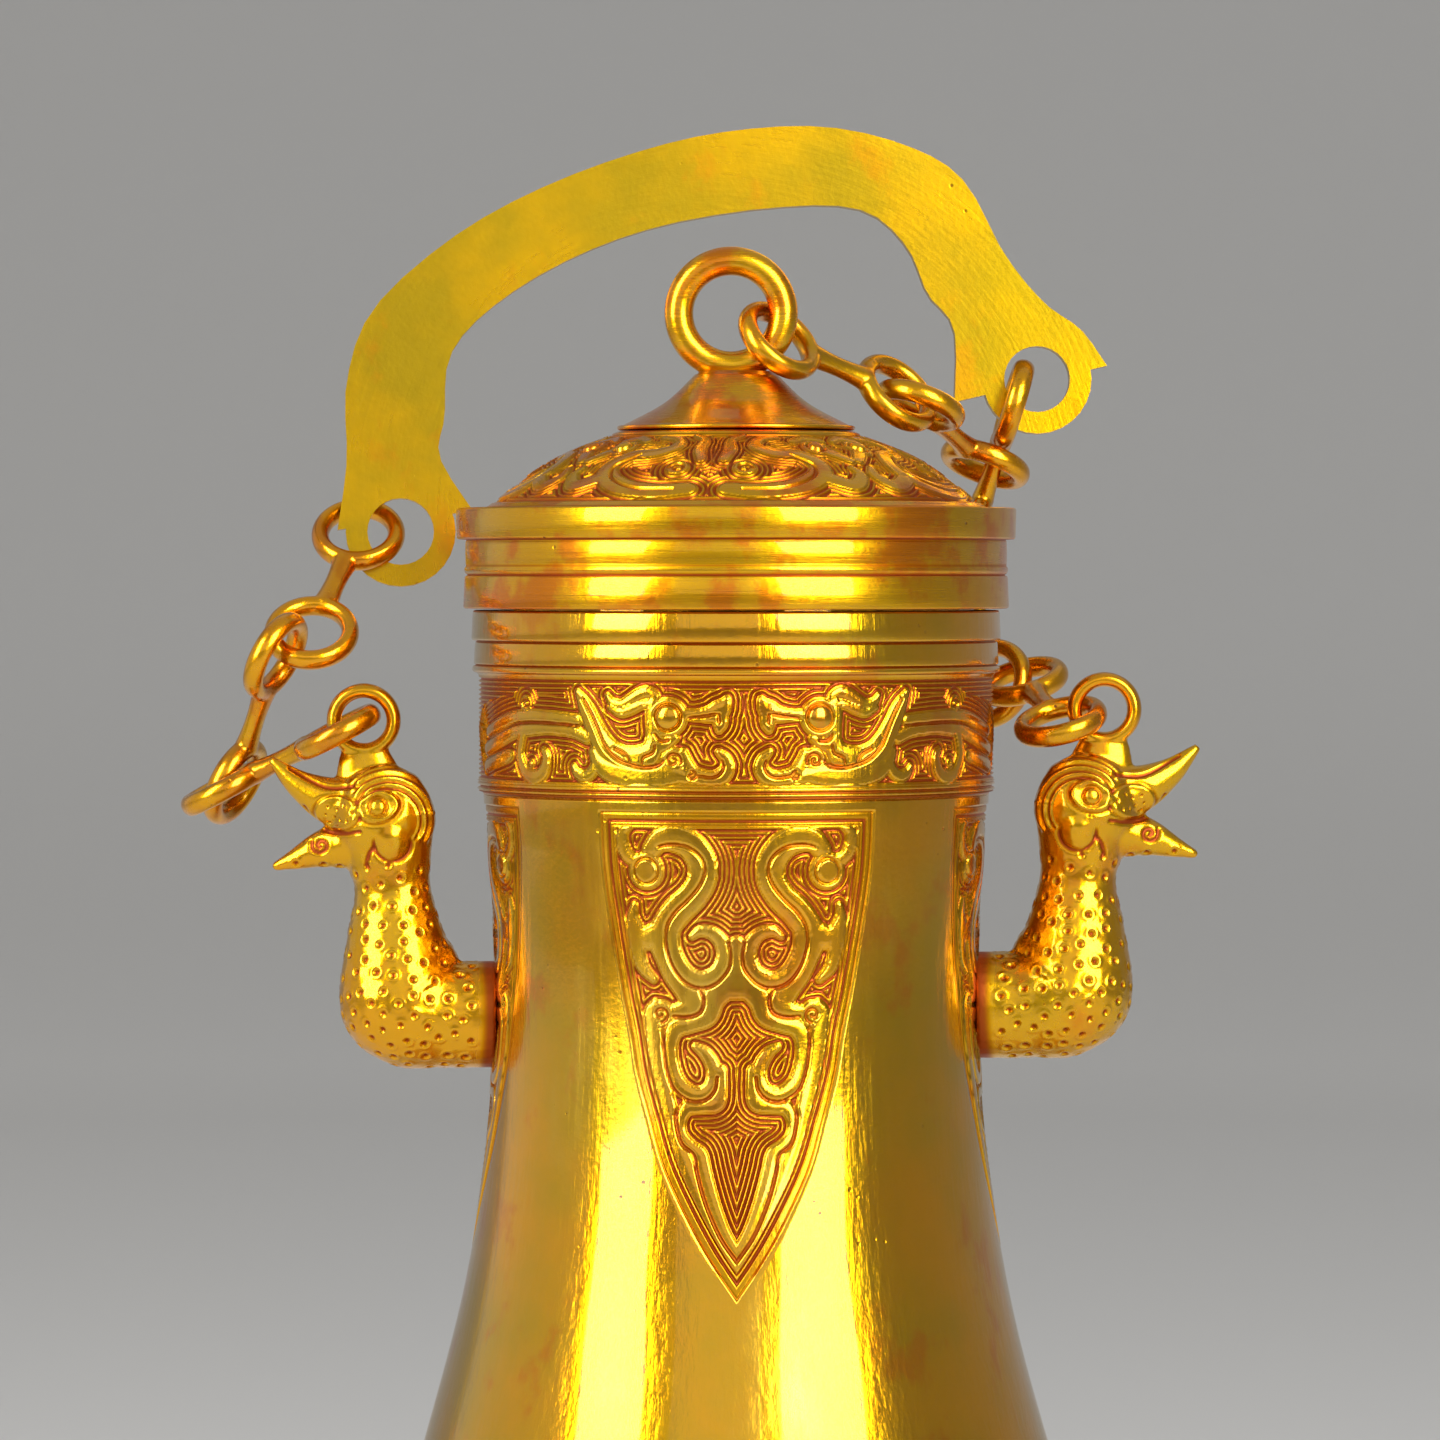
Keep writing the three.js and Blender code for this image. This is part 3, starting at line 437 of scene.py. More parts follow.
# half of the frieze as seen from the front: across from its middle, up from its lower edge, half width
friezeFigures = [
    [(30.3, 19.2, 0.2), (28.8, 16.4, 1.2), (27.4, 13.2, 1.5), (25.9, 10.2, 1.8), (23.9, 7.9, 2),
     (21.4, 6.9, 2.1), (18.6, 7.1, 2.1), (16.8, 8.6, 1.6), (16.2, 10.8, 1.3), (16.6, 13, 0.9),
     (16.7, 15.6, 0.85), (16.5, 17.4, 0.8)],
    [(27.2, 8.2, 0.8), (26.4, 6.5, 1.2), (24.6, 5.2, 1.7), (21.6, 4.4, 1.9), (18, 4.1, 1.75),
     (14.5, 4.3, 1.7), (12, 4.3, 1.2), (10.6, 4, 1)],
    [(16, 9.8, 1.4), (14.4, 9.9, 0.9), (12.7, 10.9, 0.5)],
    [(10.8, 15.2, 0.6), (8.5, 15.1, 0.7), (6, 15.3, 1.15), (4.6, 15.9, 1.45), (3.6, 17, 0.8),
     (3.1, 18.1, 0.2)],
    [(4.5, 15.2, 1.2), (4.3, 13.7, 0.9), (4.5, 12.5, 0.35)],
    [(24.8, 18.6, 0.15), (23.9, 17.3, 0.5), (22.3, 17, 0.55), (20.6, 17.9, 0.7), (19, 18.9, 0.75),
     (17.5, 19.3, 0.65), (16.3, 18.6, 0.55), (16.4, 17.7, 0.4)],
    [(24.2, 16.4, 0.3), (22.4, 15.6, 0.55), (20.5, 16.2, 0.65), (18.6, 17, 0.5), (17.2, 17, 0.5)],
    [(12.9, 6.9, 1.85)],
    [(11.1, 8.2, 0.5), (10.4, 6.2, 0.8), (9.5, 4.5, 1.1), (7.6, 3.8, 1.05), (5.6, 3.6, 1), (4, 4.1, 1.1),
     (3, 5.5, 0.85), (3.4, 7.2, 0.6), (4.6, 8.4, 0.25)],
    [(31, 5.6, 0.15), (30.5, 4.4, 0.5), (29.2, 3.8, 0.65), (27.9, 4.3, 0.65), (27.1, 5.7, 0.6)],
    [(47.2, 11.4, 0.7), (44.5, 13.2, 0.85), (41.4, 14.3, 0.85), (36.7, 14.5, 0.8), (30.4, 14, 0.7)],
    [(47.5, 8.2, 0.9), (44.8, 10.1, 0.9), (42, 11.7, 0.9), (38.9, 12.3, 0.9), (35.8, 12.5, 0.8),
     (31.5, 12, 0.7), (28.6, 10.8, 0.7)],
    [(40.7, 11.1, 0.8), (41.2, 7.5, 0.9), (40.1, 4.2, 0.9), (38.3, 3.3, 0.95), (36.6, 4.5, 0.9),
     (36.1, 7.3, 0.6), (36.7, 8.3, 0.3)],
    [(39, 5.9, 0.4)],
    [(47.6, 5, 0.8), (44, 6.8, 0.8), (42.9, 7.2, 0.5)],
    [(40.1, 16.8, 1.1)],
]
friezeGrooves = [
    [(29.2, 17.9, 0.12), (27.7, 15, 0.15), (26.4, 11.9, 0.15), (25.4, 9.6, 0.16), (24.1, 8, 0.16),
     (22.6, 6.8, 0.16), (20.4, 6, 0.16), (18, 5.6, 0.16), (15.8, 5.9, 0.16), (14.7, 6.8, 0.12)],
    [(23.6, 9, 0.1), (21.6, 7.9, 0.12), (20.8, 6.6, 0.12)],
    [(18.6, 6.2, 0.12), (18.3, 7.4, 0.12), (16.6, 8.2, 0.12), (16.2, 9.6, 0.1)],
    [(16.2, 11.6, 0.12), (15.2, 10.5, 0.15), (13.8, 10.5, 0.12)],
    [(9.9, 14.6, 0.12), (7.4, 14.9, 0.14), (5.2, 15.3, 0.1)],
    [(4.6, 15.2, 0.15), (4.5, 13.8, 0.15)],
    [(8.4, 4.1, 0.12), (6, 3.8, 0.12), (4.5, 4.3, 0.12), (3.8, 5.6, 0.12), (4, 6.8, 0.1)],
    [(47.4, 9.9, 0.14), (44.6, 11.7, 0.14), (41.6, 13.1, 0.14), (37, 13.4, 0.14), (30, 13, 0.12)],
    spiral((12.9, 6.9), 1.4, 1.3, 200, -1),
    spiral((9.5, 4.1), 0.85, 1.2, 90, 1, 0.13),
    spiral((40.1, 16.8), 0.9, 1.2, 0, 1, 0.13),
]
friezeBosses = [(13.8, 14.7, 2.1, 3.1)]

# half of a leaf as seen from the front: across from its middle, down from its top edge, half width
leafEdge = [(24.7, 0), (24.6, 10), (23.5, 20), (21.6, 32), (19.9, 40), (18.4, 48), (16, 56), (13.4, 64),
            (9.6, 72), (5.2, 80), (0, 88)]
leafFigures = [
    [(15.6, 7, 1.3), (14, 5.3, 1.6), (11.3, 4.9, 2), (8.4, 6.2, 2.1), (6.4, 9.2, 2.2), (6.4, 12.4, 2.2),
     (8.2, 15.4, 2.2), (10.8, 17.8, 2.3), (12.6, 20, 2.3), (14, 22.2, 2.2)],
    [(18.4, 9.2, 0.8), (20, 8, 0.8), (20.9, 5.8, 0.85), (20.6, 3.8, 0.6), (19.2, 2.6, 0.2)],
    [(11.9, 20, 1.2), (12, 23, 1), (11.5, 26, 1.05), (9.6, 29.2, 1.15), (6.6, 30.5, 1.2), (3.6, 29.3, 1.2),
     (2.3, 26.6, 1.1), (2.7, 23.9, 0.95), (4.5, 22, 0.75), (6.7, 21.6, 0.55), (8.3, 22.6, 0.2)],
    [(19, 17, 0.2), (19.3, 19.4, 0.75), (18.6, 22.5, 1.4), (18.4, 25.6, 1), (17.5, 28.4, 0.75),
     (15.6, 30.4, 0.35)],
    [(16.6, 23, 1.7), (14.8, 22.8, 2), (14, 26, 1.1), (12.3, 29.4, 1.2), (9.9, 32, 1.6), (8.3, 34.3, 1.9),
     (9.8, 35.7, 1.2), (11.8, 36.1, 0.8)],
    [(0, 24, 1.1), (0, 28, 1.4), (0, 31, 2.2), (2.2, 31.4, 2.2), (4.3, 34, 1.7), (5.4, 37, 1.35),
     (8.6, 38.4, 1.1), (11.4, 39.2, 1.3), (12.5, 42, 1.1), (12.1, 46, 1.1), (10.7, 49.3, 1.15),
     (7.8, 51, 1), (5.4, 50.4, 1), (4.3, 48.4, 0.95), (4.5, 45.8, 0.9), (5.9, 43.6, 0.7),
     (7.7, 42.4, 0.25)],
    [(14.3, 36.6, 2.1)],
    [(15.2, 35, 0.7), (16.3, 36.4, 0.75), (15.6, 39.4, 1.2), (15.2, 42.5, 1.35), (14.5, 46.5, 1.2),
     (13.4, 50.5, 1.2), (12.4, 54, 1.1), (11.7, 57, 0.95), (10.4, 60.6, 1.1), (8.7, 64.6, 1.2),
     (6.6, 69.5, 1.15), (4.4, 74.4, 1), (2.2, 78.8, 0.8), (0, 82.4, 0.6)],
    [(3.1, 46.8, 0.8), (3.2, 50.5, 1), (3.8, 52.6, 1.1), (6.4, 53.2, 0.85), (9, 53.4, 0.95),
     (10.2, 55.6, 0.65), (10, 58.2, 0.6), (8.4, 60.4, 0.85), (6.7, 61.8, 1), (5.9, 64.6, 0.95),
     (4.9, 68, 0.85), (3.7, 71.6, 0.75), (2.1, 75.6, 0.65), (0, 79.4, 0.6)],
]
leafGrooves = [
    [(14.2, 6.4, 0.12), (12, 6, 0.16), (9, 6.4, 0.16), (6.6, 8.2, 0.16), (5.8, 10.6, 0.16),
     (6.8, 13.4, 0.16), (9, 16, 0.16), (11.4, 18.3, 0.16), (13, 21, 0.16), (13.1, 24.5, 0.16),
     (12, 28, 0.16), (9.8, 30.8, 0.16), (6.8, 31.9, 0.16), (3.9, 31.1, 0.14), (1.6, 28.6, 0.12),
     (1.1, 26, 0.12), (1.5, 23.6, 0.1)],
    [(6.9, 32, 0.16), (6.2, 34, 0.18), (6.8, 36.2, 0.18), (9, 37.1, 0.18), (11.8, 37.1, 0.16)],
    spiral((14.3, 36.7), 1.5, 1.2, 100, 1, 0.18),
    [(13.7, 39, 0.16), (13.6, 43, 0.16), (12.9, 47, 0.16), (11.4, 50.4, 0.16), (8.6, 52.2, 0.16),
     (5.8, 52, 0.14), (4, 50.2, 0.12), (3.6, 47.8, 0.1)],
    [(10.4, 52.7, 0.14), (11.1, 54.6, 0.2), (10.8, 57.4, 0.18), (9.9, 60, 0.16), (7.8, 61.8, 0.16),
     (7.2, 64.6, 0.16), (6, 69, 0.16), (4.6, 72.8, 0.16), (2.6, 77, 0.16), (0, 80.8, 0.16)],
]
leafBosses = [(16.6, 10.8, 1.95, 2.9)]


def unroll(stroke, radius, turn, near, upNear):
    # what is drawn as seen from the front, onto the round wall
    return [(radius * math.asin(min((x * near - turn) / radius, 0.9999)) + turn, y * upNear, *rest)
            for x, y, *rest in stroke]


def friezeField(u, v):
    def flat(stroke):
        return unroll(stroke, vessel["frieze"], vessel["friezeTurn"], vessel["near"], vessel["friezeNear"])

    strip = reliefLook["strip"]
    border = np.minimum(v - strip, vessel["beadBottom"] - vessel["friezeBottom"] - 0.35 - v)
    height = carve(u, v, [flat(s) for s in friezeFigures], [flat(s) for s in friezeGrooves],
                   flat(friezeBosses), border, reliefLook)
    ridges = -reliefLook["stripDepth"] * (0.5 + 0.5 * np.cos(2 * np.pi * v / reliefLook["stripPitch"]))
    lower = 1 - smoothStep(strip - 0.15, strip + 0.05, v)
    return height * (1 - lower) + ridges * lower


def leafShape(strokes):
    return [unroll(s, vessel["leafRadius"], 0, vessel["near"], vessel["near"]) for s in strokes]


leafSide = leafShape([[(*p, 0.0) for p in leafEdge]])[0]


def leafField(u, v, half):
    # the rim is a shallow band and a thread between two lines; the ground begins inside it
    rim = reliefLook["rim"]
    inward = np.where((u < half) & (v > 0), np.minimum(strokeDistance(u, v, leafSide), v), -1)
    height = carve(u, v, leafShape(leafFigures), leafShape(leafGrooves), leafShape([leafBosses])[0],
                   inward - rim, reliefLook)
    height = np.minimum(height, np.interp(inward, [rim, rim + 0.3], [-0.75, 0.2]))
    height = np.where(inward < rim, np.interp(inward, reliefLook["rimAway"], reliefLook["rimHeight"]), height)
    return np.where(inward < 0, 0, height)


def bandRows(radius, top, bottom, bevel, lean=0.0):
    # rows of (radius, height, tarnish and painted shade) of a raised band with eased edges; the edges get
    # painted shade
    upper, lower = radius - max(lean, 0), radius + min(lean, 0)  # lean draws its top in, below 0 its bottom
    return [(upper - bevel, top, 0.7), (upper - 0.3 * bevel, top - 0.3 * bevel, 0.2), (upper, top - bevel, 0),
            (0.5 * (upper + lower), 0.5 * (top + bottom), 0), (lower, bottom + bevel, 0),
            (lower - 0.3 * bevel, bottom + 0.3 * bevel, 0.2), (lower - bevel, bottom, 0.7)]


def mouthGrid(size):
    columns, bore, top = size["mouthColumns"], size["bore"], size["mouth"]
    bevel, lean = size["bevel"], size["lean"]
    bandEnd, lowerEnd, beadEnd = size["bandBottom"], size["lowerBandBottom"], size["beadBottom"]
    friezeEnd = size["friezeBottom"]
    rows = [(bore, size["seam"], 0), (bore, top - 0.4, 0), (bore + 0.4, top, 0.3)]
    rows += bandRows(size["band"], top, bandEnd, bevel, lean)
    rows += [(size["lowerBand"] - 0.55, bandEnd - 0.05, 0.9)]  # the grooves between bands are darkened: tarnish and painted shade
    rows += bandRows(size["lowerBand"], bandEnd - 0.15, lowerEnd, bevel, lean)
    rows += [(size["lowerBand"] - 0.5, lowerEnd - 0.05, 0.9)]
    rows += bandRows(size["band"] - 0.1, lowerEnd - 0.1, beadEnd, 0.5)
    first = len(rows)
    friezeZ = np.arange(beadEnd - 0.05, friezeEnd + 0.01, -size["friezeRow"])
    rows += [(size["frieze"], z, 0) for z in friezeZ]
    last = len(rows)
    rows += [(size["frieze"] - 0.3, friezeEnd, 0.6), (size["ledge"], friezeEnd - 0.15, 0.8),
             (size["neckEdge"], size["seam"], 0.2)]
    radii, heights, depth = rowGrids(rows, columns)
    way = np.arange(columns) / columns - size["friezeTurn"] / (2 * np.pi * size["frieze"])
    halfTurn = np.abs((way * 2 + 0.5) % 1 - 0.5) / 2  # the frieze repeats front and back, mirrored
    u, v = np.meshgrid(halfTurn * 2 * np.pi * size["frieze"], friezeZ - friezeEnd)
    lift = friezeField(u, v)
    radii[first:last] += lift
    depth[first:last] = recessed(lift, reliefLook)
    return turnedPoints(radii, heights), turnedFaces(len(rows), columns, closed=True), depth


def neckGrid(size):
    columns, wall = size["neckColumns"], curveThrough(size["profile"], 40)
    leafShare, pole = size["leafShare"], size["poleRadius"]

    def wallAt(z):
        return np.minimum(np.interp(-z, -wall[:, 1], wall[:, 0]), size["widest"])

    outside = np.concatenate([np.arange(size["seam"], size["leafBottom"], -size["leafRow"]),
                              np.linspace(size["leafBottom"] - 1, 40, 70), np.linspace(39, 21.5, 22)])
    inside = np.linspace(29, size["friezeBottom"] - 6, 46)
    rows = [(size["neckEdge"], outside[0], 0)] + [(wallAt(z), z, 0) for z in outside[1:]]
    # the third value of each row is tarnish and painted shade, here at the edges of the base
    rows += [(size["baseRadius"], size["base"], 0.4), (pole, size["base"], 0)]
    hole = len(rows)
    rows += [(pole, size["floor"], 0), (size["baseRadius"] - size["wall"], size["floor"], 0.3)]
    rows += [(wallAt(z) - size["wall"], z, 0) for z in inside]
    rows += [(size["bore"], size["seam"], 0)]
    radii, heights, depth = rowGrids(rows, columns)

    # columns follow the sides of the four leaves and even out below them
    down = size["leafTop"] - heights[:, :1]
    edge = curveThrough(leafSide, 8)
    leafHalf = np.interp(down, edge[:, 1], edge[:, 0])
    sector = np.pi / 4 * size["leafRadius"]
    tip = size["near"] * leafEdge[-1][1]
    even = smoothStep(tip, tip + 45, down)
    half = np.maximum(leafHalf, 3) * (1 - even) + leafShare * sector * even
    half[hole:] = leafShare * sector
    quarter = np.arange(columns) * 4 / columns + 0.5
    place = quarter % 1 - 0.5
    share = np.abs(place) * 2
    u = np.where(share < leafShare, share / leafShare * half,
                 half + (share - leafShare) / (1 - leafShare) * (sector - half))
    angle = np.floor(quarter) * np.pi / 2 + np.sign(place) * u / size["leafRadius"]

    # half a leaf is carved, and the others are its mirror images
    carved = np.flatnonzero((down[:hole, 0] > 0) & (down[:hole, 0] < tip))
    eighth = columns // 8
    twin = np.abs((np.arange(columns) + eighth) % (2 * eighth) - eighth)
    flatU = u[carved, :eighth + 1]
    lift = leafField(flatU, down[carved] + 0 * flatU, leafHalf[carved])[:, twin]
    radii[carved] += lift
    depth[carved] = recessed(lift, reliefLook)

    # the outside is a little uneven, but not at the seam or the foot
    z, turn = heights[:hole - 2], angle[:hole - 2]
    wobble = sum(part * (np.sin(times * turn + z / rise + start) - 1)
                 for times, rise, start, part in size["waves"])
    wobble /= sum(part for *_, part in size["waves"])
    radii[:hole - 2] += size["wobble"] * smoothStep(252, 244, z) * smoothStep(22, 34, z) * wobble

    points = turnedPoints(radii, heights, angle - np.pi / 2)
    quads = turnedFaces(len(rows), columns, closed=True)
    quads = np.delete(quads, np.arange((hole - 1) * columns, hole * columns), 0)  # fans close the floor
    points = np.vstack([points, [[0, 0, size["base"]], [0, 0, size["floor"]]]])
    fans = np.vstack([fanAt((hole - 1) * columns, columns, len(points) - 2)[:, ::-1],
                      fanAt(hole * columns, columns, len(points) - 1)])
    return points, quads, fans, np.concatenate([depth.ravel(), [0, 0]])


def makeVessel():
    mouth, mouthQuads, mouthDepth = mouthGrid(vessel)
    neck, neckQuads, fans, neckDepth = neckGrid(vessel)
    makePiece("vessel_wall", np.vstack([neck, mouth]), np.vstack([neckQuads, mouthQuads + len(neck)]), fans,
              np.concatenate([neckDepth, mouthDepth.ravel()]), "vessel", "vessel_body", neckGilt)


makeVessel()


# foot ring with a step and a flare

foot = {
    "columns": 240, "height": 19.95, "top": 45.9, "bore": 41, "flare": 51.9, "plate": 47, "rebate": 3.3,
    # groove rows: (out, height, tarnish and painted shade)
    "groove": [(-0.3, 17.2, 0.4), (-0.7, 16.9, 0.8), (-0.7, 16.4, 0.7), (-0.4, 16, 0.3), (-0.4, 15, 0)],
    "curve": [(45.5, 14.5), (46.6, 10), (48.6, 6.2), (51.4, 4.2)],
}


def makeFoot():
    bore, top, flare, plate, height = (foot[key] for key in ("bore", "top", "flare", "plate", "height"))
    rows = [(bore, foot["rebate"], 0), (bore, height - 0.3, 0), (bore + 0.3, height, 0.2)]
    rows += [(top - 0.4, height, 0.4), (top, height - 0.4, 0), (top, 17.6, 0)]
    # the groove's third values darken it with tarnish and painted shade
    rows += [(top + out, z, tarnishAndShade) for out, z, tarnishAndShade in foot["groove"]]
    rows += [(r, z, 0) for r, z in curveThrough(foot["curve"], 8)]
    rows += [(flare - 0.2, 3.9, 0.3), (flare, 3.5, 0), (flare, 0.5, 0), (flare - 0.4, 0, 0)]
    rows += [(plate, 0, 0), (plate, foot["rebate"], 0)]
    radii, heights, depth = rowGrids(rows, foot["columns"])
    makePiece("foot_turned", turnedPoints(radii, heights), turnedFaces(*radii.shape, closed=True), (), depth,
              "vessel", "foot_ring", footGilt)


makeFoot()


# lid: three bands, carved dome; the finial is a concave cone with a ring

lid = {
    "columns": 1200, "bottom": 286.5, "recessFrom": 292.4, "topBandFrom": 298.9, "rim": 304.5,
    "lower": 49.05, "recess": 48.75, "top": 50.35, "bore": 45.8, "bevel": 0.4, "wall": 3,
    "lowerLean": 0.22, "topLean": -0.14,
    # recessRows and domeFoot: the third value is tarnish and painted shade
    "recessRows": [(-0.5, 0.1, 1), (-0.1, 0.4, 0.3), (0.12, 0.8, 0), (0.12, 1.3, 0), (-0.2, 1.7, 0.6),
                   (-0.1, 2.2, 0.1), (-0.05, 4, 0)],
    "domeFoot": [(46.2, -0.05, 0.1), (45.4, -0.1, 0.8), (45.0, 0.15, 0.5)],
    "dome": [(44.6, 304.9), (33.8, 312.95), (21.4, 318.2)], "seat": 20.6, "tenonHole": 5.3,
    "repeats": 4, "turn": 0.02, "unrolled": 33, "drawn": 24, "edge": 0.8,  # the strokes fill this height
}
domeFigures = [
    [(3, 4, 1.2), (8, 3.5, 1.5), (14, 5, 1.6), (18, 9, 1.5), (16, 13.5, 1.4), (11, 14.5, 1.3), (8, 17.5, 1.1),
     (10, 20.5, 0.8), (14, 21, 0.4)],
    [(22.5, 14.5, 1.1), (25, 12, 0.8)],
    [(17, 19.5, 0.7), (21, 20.8, 0.8), (24.5, 19.5, 0.4)],
    [(18, 7, 1.2), (22, 5, 1.1), (24.5, 7.5, 0.8), (24, 9.5, 0.4)],
    [(5.5, 9.5, 1.6)],
    [(2, 12, 0.6), (3, 16, 0.9), (3, 20, 0.7), (6, 22, 0.3)],
]
domeGrooves = [
    spiral((5.5, 9.5), 1.3, 1.3, 0, 1),
    [(5, 3.9, 0.14), (11, 4.2, 0.14), (16, 7, 0.14), (16.9, 10.4, 0.14), (14, 13.6, 0.12)],
]
domeBosses = [(20.5, 16.5, 1.5, 2.4)]


def makeLid():
    size, inner, rim, bevel = lid, lid["bore"], lid["rim"], lid["bevel"]
    dome = curveThrough(size["dome"], 70)
    domeTop = dome[-1, 1]
    rows = [(inner, size["bottom"] + 0.3, 0), (inner + 0.3, size["bottom"], 0.2)]
    rows += bandRows(size["lower"], size["recessFrom"], size["bottom"], bevel, size["lowerLean"])[::-1]
    # the recess rows' third values darken it with tarnish and painted shade
    rows += [(size["recess"] + out, size["recessFrom"] + up, tarnishAndShade) for out, up, tarnishAndShade in size["recessRows"]]
    rows += [(size["recess"] - 0.1, size["topBandFrom"] - 0.5, 0.1),
             (size["recess"] - 0.3, size["topBandFrom"] - 0.1, 0.9)]
    rows += bandRows(size["top"], rim, size["topBandFrom"], bevel, size["topLean"])[::-1]
    rows += [(r, rim + up, tarnishAndShade) for r, up, tarnishAndShade in size["domeFoot"]]
    carved = slice(len(rows), len(rows) + len(dome))
    rows += [(r, z, 0) for r, z in dome]
    rows += [(size["seat"], domeTop, 0.6), (size["tenonHole"], domeTop, 0),
             (size["tenonHole"], domeTop - size["wall"], 0)]
    rows += [(r - 0.6, z - size["wall"], 0) for r, z in curveThrough(size["dome"], 5)[3:-1][::-1]]
    rows += [(inner, rim - 3.6, 0)]
    radii, heights, depth = rowGrids(rows, size["columns"])
    along = np.concatenate([[0], np.cumsum(np.hypot(*np.diff(dome, axis=0).T))])
    turn = (np.arange(size["columns"]) / size["columns"] + size["turn"]) % 1
    share = np.abs((turn * size["repeats"] + 0.5) % 1 - 0.5) / size["repeats"]
    u, v = np.meshgrid(share * 2 * np.pi * size["unrolled"], along * size["drawn"] / along[-1])
    border = np.minimum(v - size["edge"], size["drawn"] - size["edge"] - v)
    lift = carve(u, v, domeFigures, domeGrooves, domeBosses, border, reliefLook)
    way = np.gradient(dome, axis=0)
    normal = np.abs(way[:, ::-1]) / np.linalg.norm(way, axis=1)[:, None]
    radii[carved] += lift * normal[:, :1]
    heights[carved] += lift * normal[:, 1:]
    depth[carved] = recessed(lift, reliefLook)
    makePiece("lid_carved", turnedPoints(radii, heights), turnedFaces(*radii.shape, closed=True), (), depth,
              "lid", "lid_shell", lidGilt)


makeLid()

finial = {
    "columns": 160, "base": 318.5, "radius": 21.4, "rim": 0.8, "tenon": 5, "tenonDepth": 3,
    "waist": (12.8, 323.5), "neck": 7, "top": 328.9, "ring": 9.4, "wire": 5.2, "ringMiddle": (-0.9, 0, 339.5),
}


def makeFinial():
    size, columns, base, radius = finial, finial["columns"], finial["base"], finial["radius"]
    shoulder, neck, top = base + size["rim"], size["neck"], size["top"]
    cone = curveThrough([(radius - 0.9, shoulder), size["waist"], (neck, top)], 16)
    # the third values darken the finial's corners with tarnish and painted shade
    rows = [(size["tenon"], base - size["tenonDepth"], 0), (size["tenon"], base, 0),
            (radius - 0.3, base, 0.4), (radius, base + 0.25, 0), (radius, shoulder - 0.2, 0),
            (radius - 0.3, shoulder, 0), (radius - 0.75, shoulder - 0.02, 0.7)]
    rows += [(r, z, 0) for r, z in cone[:-1]]
    rows += [(neck, top - 0.3, 0.1), (neck - 0.3, top + 0.15, 0.3), (neck - 1.8, top + 0.3, 0.5)]
    radii, heights, depth = rowGrids(rows, columns)
    points = turnedPoints(radii, heights)
    count = len(points)
    points = np.vstack([points, [[0, 0, rows[0][1]], [0, 0, rows[-1][1]]]])  # fans close both ends
    fans = np.vstack([fanAt(0, columns, count), fanAt(count - columns, columns, count + 1)[:, ::-1]])
    ringPoints, ringFaces = ringShell(size["ringMiddle"], size["ring"], size["wire"], size["wire"], 128, 36)
    quads = np.vstack([turnedFaces(len(rows), columns)[:, ::-1], ringFaces + len(points)])
    depth = np.concatenate([depth.ravel(), np.zeros(2 + len(ringPoints))])
    makePiece("finial_cone_and_ring", np.vstack([points, ringPoints]), quads, fans, depth,
              "lid", "lid_finial", lidGilt)


makeFinial()


# bird lugs: soft bodies with punched dots, brow ridges, eye and beak

bird = {
    "voxel": 0.36, "flat": 0.86,
    "neck": [(-42.9, 213.4, 9.6), (-52, 213.5, 9.8), (-59.6, 215.8, 11.4), (-61.3, 225.9, 9.2),
             (-61.9, 235.3, 6.9), (-62.6, 241.2, 7.6), (-63.4, 249, 9.2)],
    "balls": [((-63.8, 248.8), (9.3, 9.6)), ((-60.3, 216), (11.2, 11.4)), ((-56.4, 222), (6.4, 6.4)),
              ((-61.6, 244.4), (5.2, 4.6)), ((-70, 244), (4.6, 4.2))],
    "upperBeak": [(-66, 251.5, 5.6), (-72, 251.4, 4.7), (-78.6, 254.5, 2.7), (-84.1, 259.2, 0.7)],
    "lowerBeak": [(-66, 244.6, 5.4), (-74, 243.2, 3.6), (-79.6, 241.1, 1.9), (-83.6, 239.7, 0.6)],
    "stem": [(-66.2, 254.5, 6.4), (-66.9, 258.5, 5.2), (-67.2, 261, 4.2)], "stemFlat": 0.42,
    "loop": ((-67.3, 0, 266.2), 5.4, 2.7, 3.9),
    "eye": (-64.3, 250.9, 1.55), "brow": (-62.4, 248.4), "cheek": (-61.7, 244.5, 3.4),
    "patch": (-71.9, 249.7, 3.6, 2.7),
    "lines": [  # round the beaks and under the eye
        [(-68.5, 254.6, 0.12), (-74, 254.3, 0.15), (-80.4, 257.6, 0.1)],
        spiral((-74.9, 243.8), 1.7, 1.3, 160, 1, 0.2),
        [(-78, 250.6, 0.12), (-75.6, 247.2, 0.16), (-71.4, 245.9, 0.18), (-67.6, 246.4, 0.16)],
        [(-66.6, 240.6, 0.2), (-66, 242.4, 0.2), (-65.2, 243.4, 0.16)],
    ],
    "lineDepth": 0.42, "deepest": 0.45, "dotDepth": 0.5,
    "dotSpacing": 2.8, "smallDotSpacing": 1.6, "dotSeed": 7, "pivot": (43.8, 213.4),
    "left": {"rise": 0, "lean": 0.3}, "right": {"rise": 1.7, "lean": 1.1},
}


def ballShell(middle, half, flat, rings=24, sides=32):
    lift = np.linspace(-np.pi / 2, np.pi / 2, rings + 2)[1:-1][:, None]
    turn = 2 * np.pi * np.arange(sides) / sides
    points = np.stack([middle[0] + half[0] * np.cos(lift) * np.cos(turn),
                       half[0] * flat * np.cos(lift) * np.sin(turn),
                       middle[1] + half[1] * np.sin(lift) + 0 * turn], -1).reshape(-1, 3)
    return points, cappedFaces(rings, sides)


